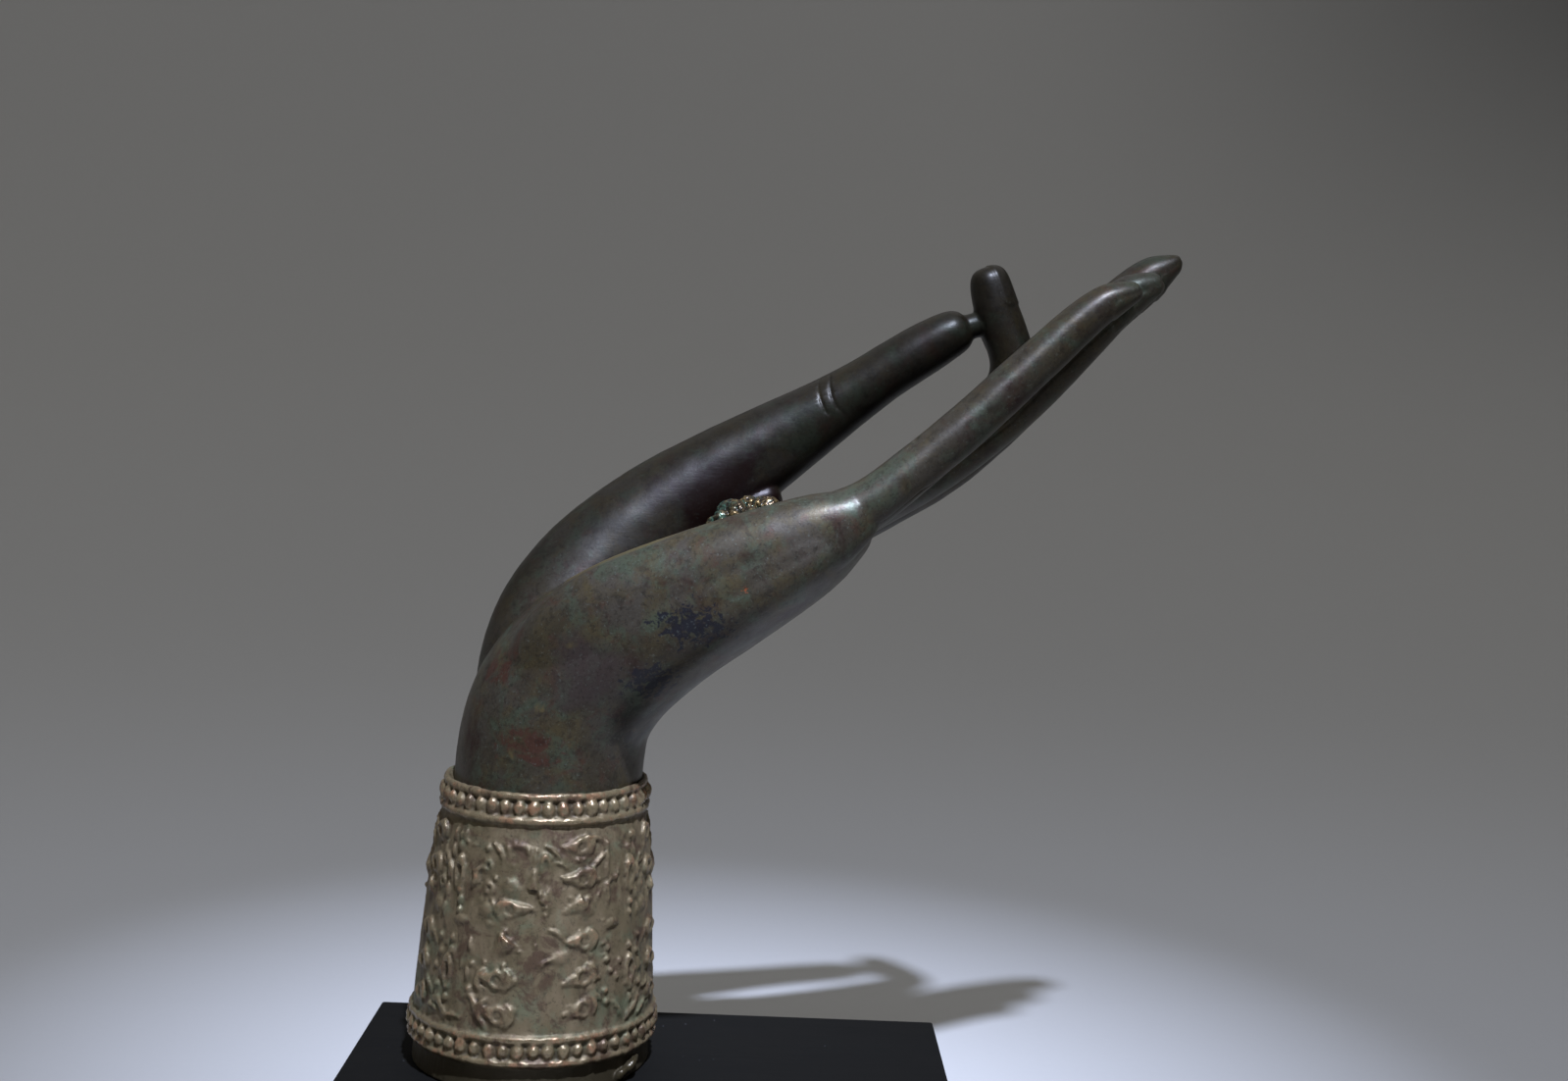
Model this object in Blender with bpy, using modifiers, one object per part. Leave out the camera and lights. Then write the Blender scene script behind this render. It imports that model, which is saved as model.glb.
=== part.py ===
"""Bronze hand in a relief cuff, standing on a black wooden plinth.

Metres, +Z up, +X to the fingertips, +Y to the thumb side.
The origin is the centre of the plinth's underside.
The hand's stations are in millimetres, from the middle of its foot on the plinth's top face.
"""

import math

import bmesh
import bpy
from mathutils import Matrix, Vector

MM = 0.001

# Plinth
PLINTH_LENGTH = 193.0
PLINTH_DEPTH = 105.0
PLINTH_HEIGHT = 28.0
PLINTH_EDGE = 0.8
FOOT_CENTRE_X = -39.0
STAND_GAP = 0.3
FOOT_TRIM = 6.0

# Cuff, as an oval turned profile: each height with its half width across X
CUFF_TOP = 92.0
CUFF_BOTTOM = 8.4
CUFF_DEPTH_RATIO = 1.15
CUFF_LEAN = 0.024
CUFF_STEPS = 48
FOOT_HALF_WIDTH = 38.2
FOOT_FLARE = 0.8
BAND_HEIGHT = 10.0
CORD_RADIUS = 1.3
CORD_TURNS = 3
RIM_DEPTH = 2.6
CUFF_PROFILE = (
    (8.4, 38.9),
    (20.0, 38.5),
    (29.0, 38.0),
    (52.0, 36.4),
    (72.5, 34.2),
    (80.0, 33.0),
    (92.0, 31.2),
)
TOP_BEAD_COUNT = 45
BOTTOM_BEAD_COUNT = 53
BEAD = (2.2, 2.7)
BEAD_HEIGHT = 1.9
BEAD_SIDES = 5
DOT_SIDES = 4
RELIEF = 1.2
SINK = 0.7
SHOULDER_SHARE = 0.74

# Field of the cuff: four like panels between upright chains, with places as turns round the cuff
PANEL_COUNT = 4
PANEL_TURN = 0.023
RING_COLUMN = 0.053
RING_HEIGHTS = (76.0, 65.0, 45.0, 35.0, 25.5)
RING_RADIUS = 2.7
RING_WIRE = 1.0
RING_DOT = 1.1
LOW_RELIEF = 0.95
FIELD_MARGIN = 2.0

# Drops beside the middle of a panel: place as a turn, height, length, width, lean from upright in degrees
SIDE_LEAVES = (
    (0.026, 64.5, 7.0, 4.0, 90.0),
    (0.026, 34.5, 7.0, 4.0, 90.0),
    (0.042, 56.5, 8.0, 4.4, -60.0),
    (0.082, 25.0, 8.0, 3.0, 50.0),
)
MIDDLE_LEAVES = ((71.0, 7.0, 3.4), (62.0, 6.4, 3.8))
MIDDLE_DOT_HEIGHT = 55.5
LEAF_RELIEF = 1.4
LEAF_OUTLINE = ((0.6, 0.0), (0.12, 0.34), (-0.18, 0.48), (-0.4, 0.0), (-0.18, -0.48), (0.12, -0.34))
LEAF_PEAK = -0.1

# Chains between the panels: beads, long rings as radius, wire and stretch, and the short bars beside them
CHAIN_RING_HEIGHTS = (65.3, 34.8)
CHAIN_STEP_COUNT = 13
CHAIN_BEAD = (1.6, 2.1)
CHAIN_RING = (2.2, 0.9, 1.6)
CHAIN_RING_ROOM = 1.1
CHAIN_BAR = (1.0, 5.0)
CHAIN_BAR_TURN = 0.021
CHAIN_BAR_LIFT = 7.5

# Limbs of the hand: x, y, z of the middle, then half the width and half the thickness
FOREARM_AND_PALM = (
    (2.0, 0.0, 60.0, 34.0, 30.0),
    (2.6, 0.0, 84.0, 34.0, 30.0),
    (3.2, 0.0, 101.0, 33.5, 30.4),
    (6.2, 0.0, 114.5, 34.0, 30.2),
    (13.5, 0.0, 125.5, 35.5, 29.0),
    (24.5, -0.5, 134.5, 37.5, 26.5),
    (39.5, -1.0, 142.0, 39.5, 21.5),
    (57.0, -1.5, 150.4, 41.0, 17.5),
    (73.5, -1.5, 160.6, 41.5, 15.8),
    (86.5, -1.5, 169.6, 40.5, 14.2),
    (93.0, -1.5, 174.6, 38.0, 11.4),
)
LITTLE_PAD = (
    (3.0, -9.0, 112.0, 17.0, 18.0),
    (6.0, -17.0, 130.0, 15.5, 18.0),
    (16.0, -24.0, 141.8, 14.0, 18.0),
    (36.6, -28.0, 152.4, 13.0, 17.5),
    (62.7, -30.0, 163.8, 11.8, 16.0),
    (85.5, -31.0, 173.9, 10.5, 14.0),
    (95.5, -30.5, 180.0, 9.2, 9.5),
)
OUTER_EDGE = (
    (22.5, -32.0, 138.0, 6.5, 10.0),
    (37.4, -34.2, 146.5, 6.8, 12.0),
    (54.8, -35.9, 154.0, 6.5, 12.0),
    (71.7, -36.0, 163.3, 6.4, 11.0),
    (85.3, -35.6, 171.4, 6.2, 9.0),
)
THUMB = (
    (-2.0, 8.0, 108.0, 20.0, 22.0),
    (0.6, 14.0, 136.0, 20.0, 23.2),
    (16.6, 22.0, 158.5, 18.0, 22.3),
    (41.0, 28.5, 180.0, 15.5, 18.5),
    (68.8, 31.0, 198.6, 12.5, 14.6),
    (88.9, 31.0, 212.0, 10.8, 11.0),
    (104.5, 30.0, 223.6, 10.0, 8.9),
    (119.5, 28.6, 234.0, 9.6, 8.9),
    (129.0, 28.0, 239.6, 8.4, 7.8),
)
THUMB_WEB = (
    (50.0, 26.0, 172.5, 10.0, 8.0),
    (61.0, 27.0, 178.6, 9.5, 7.4),
    (69.5, 27.5, 182.6, 8.5, 6.2),
)
INDEX_FINGER = (
    (88.0, 25.0, 172.5, 10.0, 8.6),
    (109.0, 27.0, 183.8, 9.6, 8.3),
    (128.0, 28.0, 199.5, 9.0, 8.0),
    (143.2, 28.3, 213.5, 8.6, 7.9),
    (151.0, 28.3, 225.5, 8.4, 7.9),
    (148.4, 28.2, 237.0, 8.0, 7.6),
    (143.4, 28.0, 248.0, 7.8, 7.6),
    (140.8, 28.0, 256.6, 6.9, 6.7),
)
MIDDLE_FINGER = (
    (86.0, 8.5, 171.0, 10.2, 9.5),
    (101.5, 8.6, 180.6, 10.2, 9.0),
    (118.3, 8.6, 189.6, 9.8, 8.5),
    (130.9, 8.4, 198.2, 9.2, 8.2),
    (143.3, 8.0, 210.4, 8.8, 8.0),
    (157.3, 7.2, 225.3, 8.4, 7.8),
    (169.1, 6.4, 239.2, 7.9, 7.6),
    (178.9, 5.8, 249.6, 7.4, 7.4),
    (187.6, 5.5, 257.6, 7.2, 7.0),
    (192.8, 5.4, 261.8, 6.4, 5.8),
    (197.2, 5.3, 264.2, 4.6, 3.4),
)
RING_FINGER = (
    (86.0, -10.0, 173.0, 10.2, 9.0),
    (101.0, -10.2, 183.0, 10.2, 8.4),
    (115.0, -10.2, 190.6, 9.6, 8.0),
    (127.8, -9.8, 199.5, 9.0, 7.9),
    (148.1, -9.0, 216.2, 8.4, 7.5),
    (163.8, -7.8, 233.8, 7.8, 7.2),
    (176.3, -7.2, 248.0, 7.2, 6.9),
    (182.4, -6.8, 254.4, 6.6, 6.3),
    (188.6, -6.6, 256.6, 4.8, 3.9),
)
LITTLE_FINGER = (
    (88.0, -28.5, 178.0, 9.8, 8.8),
    (101.0, -28.4, 183.8, 9.4, 8.0),
    (109.2, -28.0, 190.8, 9.0, 7.5),
    (131.3, -25.8, 210.1, 8.0, 7.2),
    (152.4, -22.8, 231.4, 7.2, 6.9),
    (168.2, -20.4, 246.8, 6.6, 6.3),
    (174.6, -19.8, 251.2, 6.0, 5.6),
    (180.2, -19.5, 253.2, 4.4, 3.4),
)
PINCH = (
    (132.0, 28.0, 241.0, 4.4, 4.4),
    (137.5, 28.0, 243.0, 4.0, 4.0),
    (143.0, 28.0, 244.0, 4.4, 4.4),
)
LIMB_SIDES = 12
ROUNDING = ((0.5, 0.87), (0.85, 0.5))

# Palm ornament
ORNAMENT_MIDDLE = (62.5, -6.0, 172.6)
ORNAMENT_TILT = math.radians(-33.7)
ORNAMENT_DISC = (13.0, 12.5, 7.4)
ORNAMENT_BOSS = (5.4, 5.4, 4.6)
PETAL_COUNT = 8
PETAL = (4.8, 4.2, 3.6)
PETAL_REACH = 10.4
PETAL_LIFT = 3.6

# Hollow of the casting, then the bar and boss across its foot
HOLLOW_IN_CUFF = (
    (0.0, 0.0, -8.0, 38.0, 32.5),
    (0.4, 0.0, 18.0, 37.5, 32.0),
    (1.2, 0.0, 48.0, 35.0, 30.0),
    (2.2, 0.0, 76.0, 31.5, 27.0),
)
WALL = 5.5
TRIM_SIDE = 120.0
FIRST_OPEN_STATION = 2
LAST_OPEN_STATION = 9
BAR = (16.0, 82.0, 9.0)
BAR_RISE = 0.6
BOSS_RADIUS = 9.0
BOSS_HEIGHT = 14.0
SOCKET_RADIUS = 2.9
SOCKET_DEPTH = 2.6

# Fixing screw and washer
SCREW_RADIUS = 3.0
TAPPED_RADIUS = 3.3
CLEARANCE_RADIUS = 3.5
WASHER_RADIUS = 9.0
WASHER_HEIGHT = 1.6
HEAD_RADIUS = 6.0
HEAD_HEIGHT = 4.6
COUNTERBORE_RADIUS = 11.0
COUNTERBORE_DEPTH = 9.0
SCREW_REACH = 10.0
FIT_GAP = 0.3

# Mesh sizes
HAND_VOXEL = 1.0
EASE_STEPS = 10
HAND_SHARE = 0.0115
CUFF_SHARE = 0.58
SHARP_ANGLE = math.radians(32.0)


def clear_scene():
    for obj in list(bpy.data.objects):
        bpy.data.objects.remove(obj, do_unlink=True)


def collection(name, hidden=False):
    made = bpy.data.collections.new(name)
    bpy.context.scene.collection.children.link(made)
    made.hide_render = hidden
    return made


def material(name, colour, metallic, roughness):
    made = bpy.data.materials.new(name)
    made.use_nodes = True
    shader = made.node_tree.nodes["Principled BSDF"]
    shader.inputs["Base Color"].default_value = (*colour, 1.0)
    shader.inputs["Metallic"].default_value = metallic
    shader.inputs["Roughness"].default_value = roughness
    return made


def put(name, mesh, where):
    obj = bpy.data.objects.new(name, mesh)
    where.objects.link(obj)
    return obj


def mesh_from(bm, name):
    bmesh.ops.recalc_face_normals(bm, faces=bm.faces)
    mesh = bpy.data.meshes.new(name)
    bm.to_mesh(mesh)
    bm.free()
    return mesh


def baked(obj):
    """The object with its modifiers applied, as a plain mesh object in the same place."""
    bpy.context.view_layer.update()
    graph = bpy.context.evaluated_depsgraph_get()
    mesh = bpy.data.meshes.new_from_object(obj.evaluated_get(graph))
    obj.modifiers.clear()
    obj.data = mesh
    return obj


def cage_factor(sides):
    """How far a ring of cage points stands outside the subdivided curve."""
    return 6.0 / (4.0 + 2.0 * math.cos(2.0 * math.pi / sides))


def limb(name, stations, where, levels=2):
    """A lofted cage through oval stations with rounded ends, subdivided."""
    middles = [Vector(s[:3]) for s in stations]
    sizes = [(s[3], s[4]) for s in stations]
    tangents = []
    for i in range(len(middles)):
        after = middles[min(i + 1, len(middles) - 1)]
        tangents.append((after - middles[max(i - 1, 0)]).normalized())
    for at, sign in ((0, -1), (-1, 1)):
        middle, size, tangent = middles[at], sizes[at], tangents[at]
        for reach, shrink in ROUNDING:
            index = 0 if sign < 0 else len(middles)
            middles.insert(index, middle + tangent * sign * reach * min(size))
            sizes.insert(index, (size[0] * shrink, size[1] * shrink))
            tangents.insert(index, tangent)
    factor = cage_factor(LIMB_SIDES)
    bm = bmesh.new()
    rings = []
    for middle, size, tangent in zip(middles, sizes, tangents):
        side = (Vector((0, 1, 0)) - tangent * tangent.y).normalized()
        normal = tangent.cross(side)
        ring = []
        for k in range(LIMB_SIDES):
            angle = 2.0 * math.pi * k / LIMB_SIDES
            across = side * size[0] * math.cos(angle) + normal * size[1] * math.sin(angle)
            ring.append(bm.verts.new((middle + across * factor) * MM))
        rings.append(ring)
    for low, high in zip(rings, rings[1:]):
        for k in range(LIMB_SIDES):
            after = (k + 1) % LIMB_SIDES
            bm.faces.new((low[k], low[after], high[after], high[k]))
    bm.faces.new(rings[0][::-1])
    bm.faces.new(rings[-1])
    obj = put(name, mesh_from(bm, name), where)
    smooth = obj.modifiers.new("round", "SUBSURF")
    smooth.levels = smooth.render_levels = levels
    return baked(obj)


def fuse(name, pieces, where, voxel):
    """One closed skin around overlapping pieces."""
    bm = bmesh.new()
    for piece in pieces:
        bm.from_mesh(piece.data)
    obj = put(name, mesh_from(bm, name), where)
    skin = obj.modifiers.new("skin", "REMESH")
    skin.mode = "VOXEL"
    skin.voxel_size = voxel * MM
    for piece in pieces:
        bpy.data.objects.remove(piece, do_unlink=True)
    return baked(obj)


def turned(name, profile, where, ratio, steps):
    """A closed profile of (radius, height) turned about Z, then widened across Y and leaned to X."""
    bm = bmesh.new()
    points = [bm.verts.new((radius * MM, 0.0, height * MM)) for radius, height in profile]
    for first, second in zip(points, points[1:]):
        bm.edges.new((first, second))
    obj = put(name, mesh_from(bm, name), where)
    screw = obj.modifiers.new("turn", "SCREW")
    screw.steps = screw.render_steps = steps
    screw.use_merge_vertices = True
    screw.merge_threshold = 0.00001
    baked(obj)
    bm = bmesh.new()
    bm.from_mesh(obj.data)
    for vert in bm.verts:
        vert.co.y *= ratio
    bmesh.ops.recalc_face_normals(bm, faces=bm.faces)
    bm.to_mesh(obj.data)
    bm.free()
    return obj


def cuff_half_width(height):
    for (low, first), (high, second) in zip(CUFF_PROFILE, CUFF_PROFILE[1:]):
        if height <= high:
            return first + (second - first) * max(height - low, 0.0) / (high - low)
    return CUFF_PROFILE[-1][1]


def cuff_place(turn, height):
    """Matrix on the cuff's face: X along it, Y up it, Z out of it. A turn of 0 faces the viewer, -Y."""
    angle = 2.0 * math.pi * turn
    half = cuff_half_width(height)
    around = Vector((math.cos(angle), math.sin(angle) * CUFF_DEPTH_RATIO, 0.0)).normalized()
    outward = Vector((math.sin(angle) * CUFF_DEPTH_RATIO, -math.cos(angle), 0.0)).normalized()
    up = Vector((0.0, 0.0, 1.0))
    middle = Vector((half * math.sin(angle), -half * math.cos(angle) * CUFF_DEPTH_RATIO, height))
    facing = Matrix((around, up, outward)).transposed().to_4x4()
    return Matrix.Translation(middle * MM) @ facing


def ball(bm, place, radii):
    lay = place @ Matrix.Diagonal((*[r * MM for r in radii], 1.0))
    bmesh.ops.create_icosphere(bm, subdivisions=2, radius=1.0, matrix=lay)


def bump(bm, place, outline, height, peak=(0.0, 0.0)):
    """A raised boss over an outline on the cuff's face, its foot sunk into the face."""
    rows = []
    for share, level in ((1.0, -SINK), (SHOULDER_SHARE, height * SHOULDER_SHARE)):
        row = []
        for x, y in outline:
            point = Vector((peak[0] + (x - peak[0]) * share, peak[1] + (y - peak[1]) * share, level))
            row.append(bm.verts.new(place @ (point * MM)))
        rows.append(row)
    bm.faces.new(rows[0][::-1])
    top = bm.verts.new(place @ (Vector((peak[0], peak[1], height)) * MM))
    count = len(outline)
    for k in range(count):
        after = (k + 1) % count
        bm.faces.new((rows[0][k], rows[0][after], rows[1][after], rows[1][k]))
        bm.faces.new((rows[1][k], rows[1][after], top))


def oval(half_width, half_height, sides):
    steps = [2.0 * math.pi * (k + 0.5) / sides for k in range(sides)]
    return [(half_width * math.sin(step), -half_height * math.cos(step)) for step in steps]


def ring(bm, place, radius, wire, stretch=1.0, segments=7):
    """A raised ring with a ridge, stretched up the cuff's face."""
    rows = []
    for i in range(segments):
        turn = 2.0 * math.pi * (i + 0.25) / segments
        row = []
        for reach, level in ((radius - wire, -SINK), (radius, RELIEF), (radius + wire, -SINK)):
            point = Vector((reach * math.cos(turn), reach * math.sin(turn) * stretch, level))
            row.append(bm.verts.new(place @ (point * MM)))
        rows.append(row)
    for i in range(segments):
        low, high = rows[i], rows[(i + 1) % segments]
        for j in range(3):
            after = (j + 1) % 3
            bm.faces.new((low[j], high[j], high[after], low[after]))


def leaf(bm, place, length, width, turn):
    """A drop on the cuff's face whose point lies along the given turn."""
    spin = place @ Matrix.Rotation(turn, 4, "Z")
    outline = [(x * length, y * width) for x, y in LEAF_OUTLINE]
    bump(bm, spin, outline, LEAF_RELIEF, (LEAF_PEAK * length, 0.0))


def chain(bm, turn, low, high):
    """An upright string of beads between two panels, with two long rings in it and a bar on each side."""
    step = (high - low) / CHAIN_STEP_COUNT
    for k in range(CHAIN_STEP_COUNT):
        height = low + step * (k + 0.5)
        if min(abs(height - ring_height) for ring_height in CHAIN_RING_HEIGHTS) > CHAIN_RING_ROOM * step:
            bump(bm, cuff_place(turn, height), oval(*CHAIN_BEAD, BEAD_SIDES), RELIEF)
    for height in CHAIN_RING_HEIGHTS:
        ring(bm, cuff_place(turn, height), *CHAIN_RING)
        for side in (-CHAIN_BAR_TURN, CHAIN_BAR_TURN):
            for lift in (-CHAIN_BAR_LIFT, CHAIN_BAR_LIFT):
                bump(bm, cuff_place(turn + side, height + lift), oval(*CHAIN_BAR, DOT_SIDES), LOW_RELIEF)


def cuff_ornaments(name, where):
    bm = bmesh.new()
    top_row = (TOP_BEAD_COUNT, CUFF_TOP - BAND_HEIGHT / 2.0)
    bottom_row = (BOTTOM_BEAD_COUNT, CUFF_BOTTOM + BAND_HEIGHT / 2.0)
    for count, height in (top_row, bottom_row):
        for k in range(count):
            bump(bm, cuff_place(k / count, height), oval(*BEAD, BEAD_SIDES), BEAD_HEIGHT)
    low = CUFF_BOTTOM + BAND_HEIGHT + FIELD_MARGIN
    high = CUFF_TOP - BAND_HEIGHT - FIELD_MARGIN
    upright = math.radians(90.0)
    for panel in range(PANEL_COUNT):
        middle = PANEL_TURN + panel / PANEL_COUNT
        chain(bm, middle + 0.5 / PANEL_COUNT, low, high)
        for side in (-1.0, 1.0):
            for height in RING_HEIGHTS:
                place = cuff_place(middle + side * RING_COLUMN, height)
                ring(bm, place, RING_RADIUS, RING_WIRE)
                bump(bm, place, oval(RING_DOT, RING_DOT, DOT_SIDES), LOW_RELIEF)
            for turn, height, length, width, lean in SIDE_LEAVES:
                place = cuff_place(middle + side * turn, height)
                leaf(bm, place, length, width, upright + side * math.radians(lean))
        for height, length, width in MIDDLE_LEAVES:
            leaf(bm, cuff_place(middle, height), length, width, upright)
        bump(bm, cuff_place(middle, MIDDLE_DOT_HEIGHT), oval(RING_DOT, RING_DOT, DOT_SIDES), LOW_RELIEF)
    return put(name, mesh_from(bm, name), where)


def cord(height):
    """The half round of a cord standing out of the cuff, from its top down, as (radius, height)."""
    half = cuff_half_width(height)
    arc = []
    for k in range(CORD_TURNS + 1):
        bend = math.pi * (0.5 - k / CORD_TURNS)
        arc.append((half + CORD_RADIUS * math.cos(bend), height + CORD_RADIUS * math.sin(bend)))
    return arc


def cuff_body(name, where):
    """The plain oval sleeve with its four cords and the narrower foot under it."""
    floor = CUFF_TOP - RIM_DEPTH
    profile = [(0.0, floor), (cuff_half_width(CUFF_TOP) - RIM_DEPTH, floor)]
    profile += cord(CUFF_TOP - CORD_RADIUS)
    profile += cord(CUFF_TOP - BAND_HEIGHT + CORD_RADIUS)
    profile += [(half, height) for height, half in reversed(CUFF_PROFILE[2:5])]
    profile += cord(CUFF_BOTTOM + BAND_HEIGHT - CORD_RADIUS)
    profile += cord(CUFF_BOTTOM + CORD_RADIUS)
    profile.append((FOOT_HALF_WIDTH - FOOT_FLARE, CUFF_BOTTOM))
    profile += [(FOOT_HALF_WIDTH, -FOOT_TRIM / 2.0), (0.0, -FOOT_TRIM / 2.0)]
    return turned(name, profile, where, CUFF_DEPTH_RATIO, CUFF_STEPS)


def rosette(name, where):
    """A lotus disc of petals around a boss, lying in the hollow of the palm."""
    bm = bmesh.new()
    lay = Matrix.Translation(Vector(ORNAMENT_MIDDLE) * MM) @ Matrix.Rotation(ORNAMENT_TILT, 4, "Y")
    ball(bm, lay, ORNAMENT_DISC)
    ball(bm, lay @ Matrix.Translation((0, 0, ORNAMENT_DISC[2] * MM)), ORNAMENT_BOSS)
    for k in range(PETAL_COUNT):
        spin = Matrix.Rotation(2.0 * math.pi * (k + 0.5) / PETAL_COUNT, 4, "Z")
        reach = Matrix.Translation((PETAL_REACH * MM, 0, PETAL_LIFT * MM))
        ball(bm, lay @ spin @ reach, PETAL)
    return put(name, mesh_from(bm, name), where)


def cylinder(name, radius, low, high, where, x=0.0, sides=48):
    bm = bmesh.new()
    bmesh.ops.create_cone(
        bm, cap_ends=True, segments=sides, radius1=radius * MM, radius2=radius * MM, depth=(high - low) * MM,
        matrix=Matrix.Translation((x * MM, 0.0, (low + high) / 2.0 * MM)),
    )
    return put(name, mesh_from(bm, name), where)


def box(name, size, middle, where):
    bm = bmesh.new()
    lay = Matrix.Translation(Vector(middle) * MM) @ Matrix.Diagonal((*[s * MM for s in size], 1.0))
    bmesh.ops.create_cube(bm, size=1.0, matrix=lay)
    return put(name, mesh_from(bm, name), where)


def boolean(obj, other, operation):
    cut = obj.modifiers.new(other.name, "BOOLEAN")
    cut.operation = operation
    cut.solver = "EXACT"
    cut.object = other
    return cut


def move(obj, x, y, z):
    obj.data.transform(Matrix.Translation((x * MM, y * MM, z * MM)))


def make_casting(parts, tools):
    limbs = [
        limb("forearm_and_palm", FOREARM_AND_PALM, tools),
        limb("little_pad", LITTLE_PAD, tools),
        limb("outer_edge", OUTER_EDGE, tools),
        limb("thumb", THUMB, tools),
        limb("thumb_web", THUMB_WEB, tools),
        limb("index_finger", INDEX_FINGER, tools),
        limb("middle_finger", MIDDLE_FINGER, tools),
        limb("ring_finger", RING_FINGER, tools),
        limb("little_finger", LITTLE_FINGER, tools),
        limb("pinch", PINCH, tools),
    ]
    limbs.append(rosette("rosette", tools))
    casting = fuse("hand_casting", limbs, parts, HAND_VOXEL)
    ease = casting.modifiers.new("ease", "SMOOTH")
    ease.factor = 0.5
    ease.iterations = EASE_STEPS
    lighten = casting.modifiers.new("lighten", "DECIMATE")
    lighten.ratio = HAND_SHARE
    baked(casting)
    sleeve = cuff_body("sleeve", tools)
    ornaments = cuff_ornaments("ornaments", tools)
    for piece in (sleeve, ornaments):
        for vert in piece.data.vertices:
            vert.co.x += CUFF_LEAN * vert.co.z
    boolean(sleeve, ornaments, "UNION").use_self = True
    baked(sleeve)
    lighten = sleeve.modifiers.new("lighten", "DECIMATE")
    lighten.ratio = CUFF_SHARE
    baked(sleeve)
    boolean(casting, sleeve, "UNION")
    baked(casting)
    hollow_stations = HOLLOW_IN_CUFF + tuple(
        (x, y, z, half_side - WALL, half_thick - WALL)
        for x, y, z, half_side, half_thick in FOREARM_AND_PALM[FIRST_OPEN_STATION:LAST_OPEN_STATION]
    )
    boolean(casting, limb("hollow", hollow_stations, tools, levels=1), "DIFFERENCE")
    below = box("below_foot", (TRIM_SIDE, TRIM_SIDE, FOOT_TRIM), (0.0, 0.0, -FOOT_TRIM / 2.0), tools)
    boolean(casting, below, "DIFFERENCE")
    boolean(casting, box("foot_bar", BAR, (0.0, 0.0, BAR_RISE + BAR[2] / 2.0), tools), "UNION")
    boolean(casting, cylinder("foot_boss", BOSS_RADIUS, BAR_RISE, BOSS_HEIGHT, tools), "UNION")
    tapped = cylinder("tapped_hole", TAPPED_RADIUS, -1.0, BOSS_HEIGHT + 1.0, tools, sides=32)
    boolean(casting, tapped, "DIFFERENCE")
    baked(casting)
    casting.data.set_sharp_from_angle(angle=SHARP_ANGLE)
    move(casting, FOOT_CENTRE_X, 0.0, PLINTH_HEIGHT + STAND_GAP)
    return casting


def make_plinth(parts, tools):
    size = (PLINTH_LENGTH, PLINTH_DEPTH, PLINTH_HEIGHT)
    plinth = box("wooden_plinth", size, (0.0, 0.0, PLINTH_HEIGHT / 2.0), parts)
    edge = plinth.modifiers.new("edge", "BEVEL")
    edge.width = PLINTH_EDGE * MM
    edge.segments = 2
    bore = cylinder("clearance_hole", CLEARANCE_RADIUS, -1.0, PLINTH_HEIGHT + 1.0, tools, FOOT_CENTRE_X, 32)
    boolean(plinth, bore, "DIFFERENCE")
    recess = cylinder("counterbore", COUNTERBORE_RADIUS, -1.0, COUNTERBORE_DEPTH, tools, FOOT_CENTRE_X)
    boolean(plinth, recess, "DIFFERENCE")
    return baked(plinth)


def make_washer(parts, tools):
    top = COUNTERBORE_DEPTH - FIT_GAP
    washer = cylinder("screw_washer", WASHER_RADIUS, top - WASHER_HEIGHT, top, parts, FOOT_CENTRE_X)
    hole = cylinder("washer_hole", TAPPED_RADIUS, 0.0, PLINTH_HEIGHT, tools, FOOT_CENTRE_X, 32)
    boolean(washer, hole, "DIFFERENCE")
    return baked(washer)


def make_screw(parts, tools):
    seat = COUNTERBORE_DEPTH - WASHER_HEIGHT - 2.0 * FIT_GAP
    end = PLINTH_HEIGHT + STAND_GAP + SCREW_REACH
    screw = cylinder("mounting_screw", SCREW_RADIUS, seat - 1.0, end, parts, FOOT_CENTRE_X, 32)
    head = cylinder("screw_head", HEAD_RADIUS, seat - HEAD_HEIGHT, seat, tools, FOOT_CENTRE_X)
    boolean(screw, head, "UNION")
    low = seat - HEAD_HEIGHT
    socket = cylinder("screw_socket", SOCKET_RADIUS, low - 1.0, low + SOCKET_DEPTH, tools, FOOT_CENTRE_X, 6)
    boolean(screw, socket, "DIFFERENCE")
    return baked(screw)


def main():
    clear_scene()
    parts = collection("hand_figurine")
    tools = collection("cutters", hidden=True)
    casting = make_casting(parts, tools)
    casting.data.materials.append(material("dark_bronze", (0.16, 0.13, 0.09), 1.0, 0.42))
    plinth = make_plinth(parts, tools)
    plinth.data.materials.append(material("black_wood", (0.02, 0.02, 0.022), 0.0, 0.5))
    steel = material("zinc_plated_steel", (0.55, 0.56, 0.58), 1.0, 0.35)
    make_washer(parts, tools).data.materials.append(steel)
    make_screw(parts, tools).data.materials.append(steel)
    for helper in list(tools.objects):
        helper.display_type = "WIRE"


if __name__ == "__main__":
    main()
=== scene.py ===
"""Cast bronze hand in a relief cuff on a black wooden plinth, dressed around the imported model.

The file is laid out as an add-on and run as a script: each operator builds or dresses one group of pieces.
Tables of the casting are in millimetres from the middle of its foot, with X to the fingertips, Y to the thumb
and Z up.
"""

import math
import random

import bmesh
import bpy
import numpy as np
from mathutils import Matrix, Vector


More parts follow.
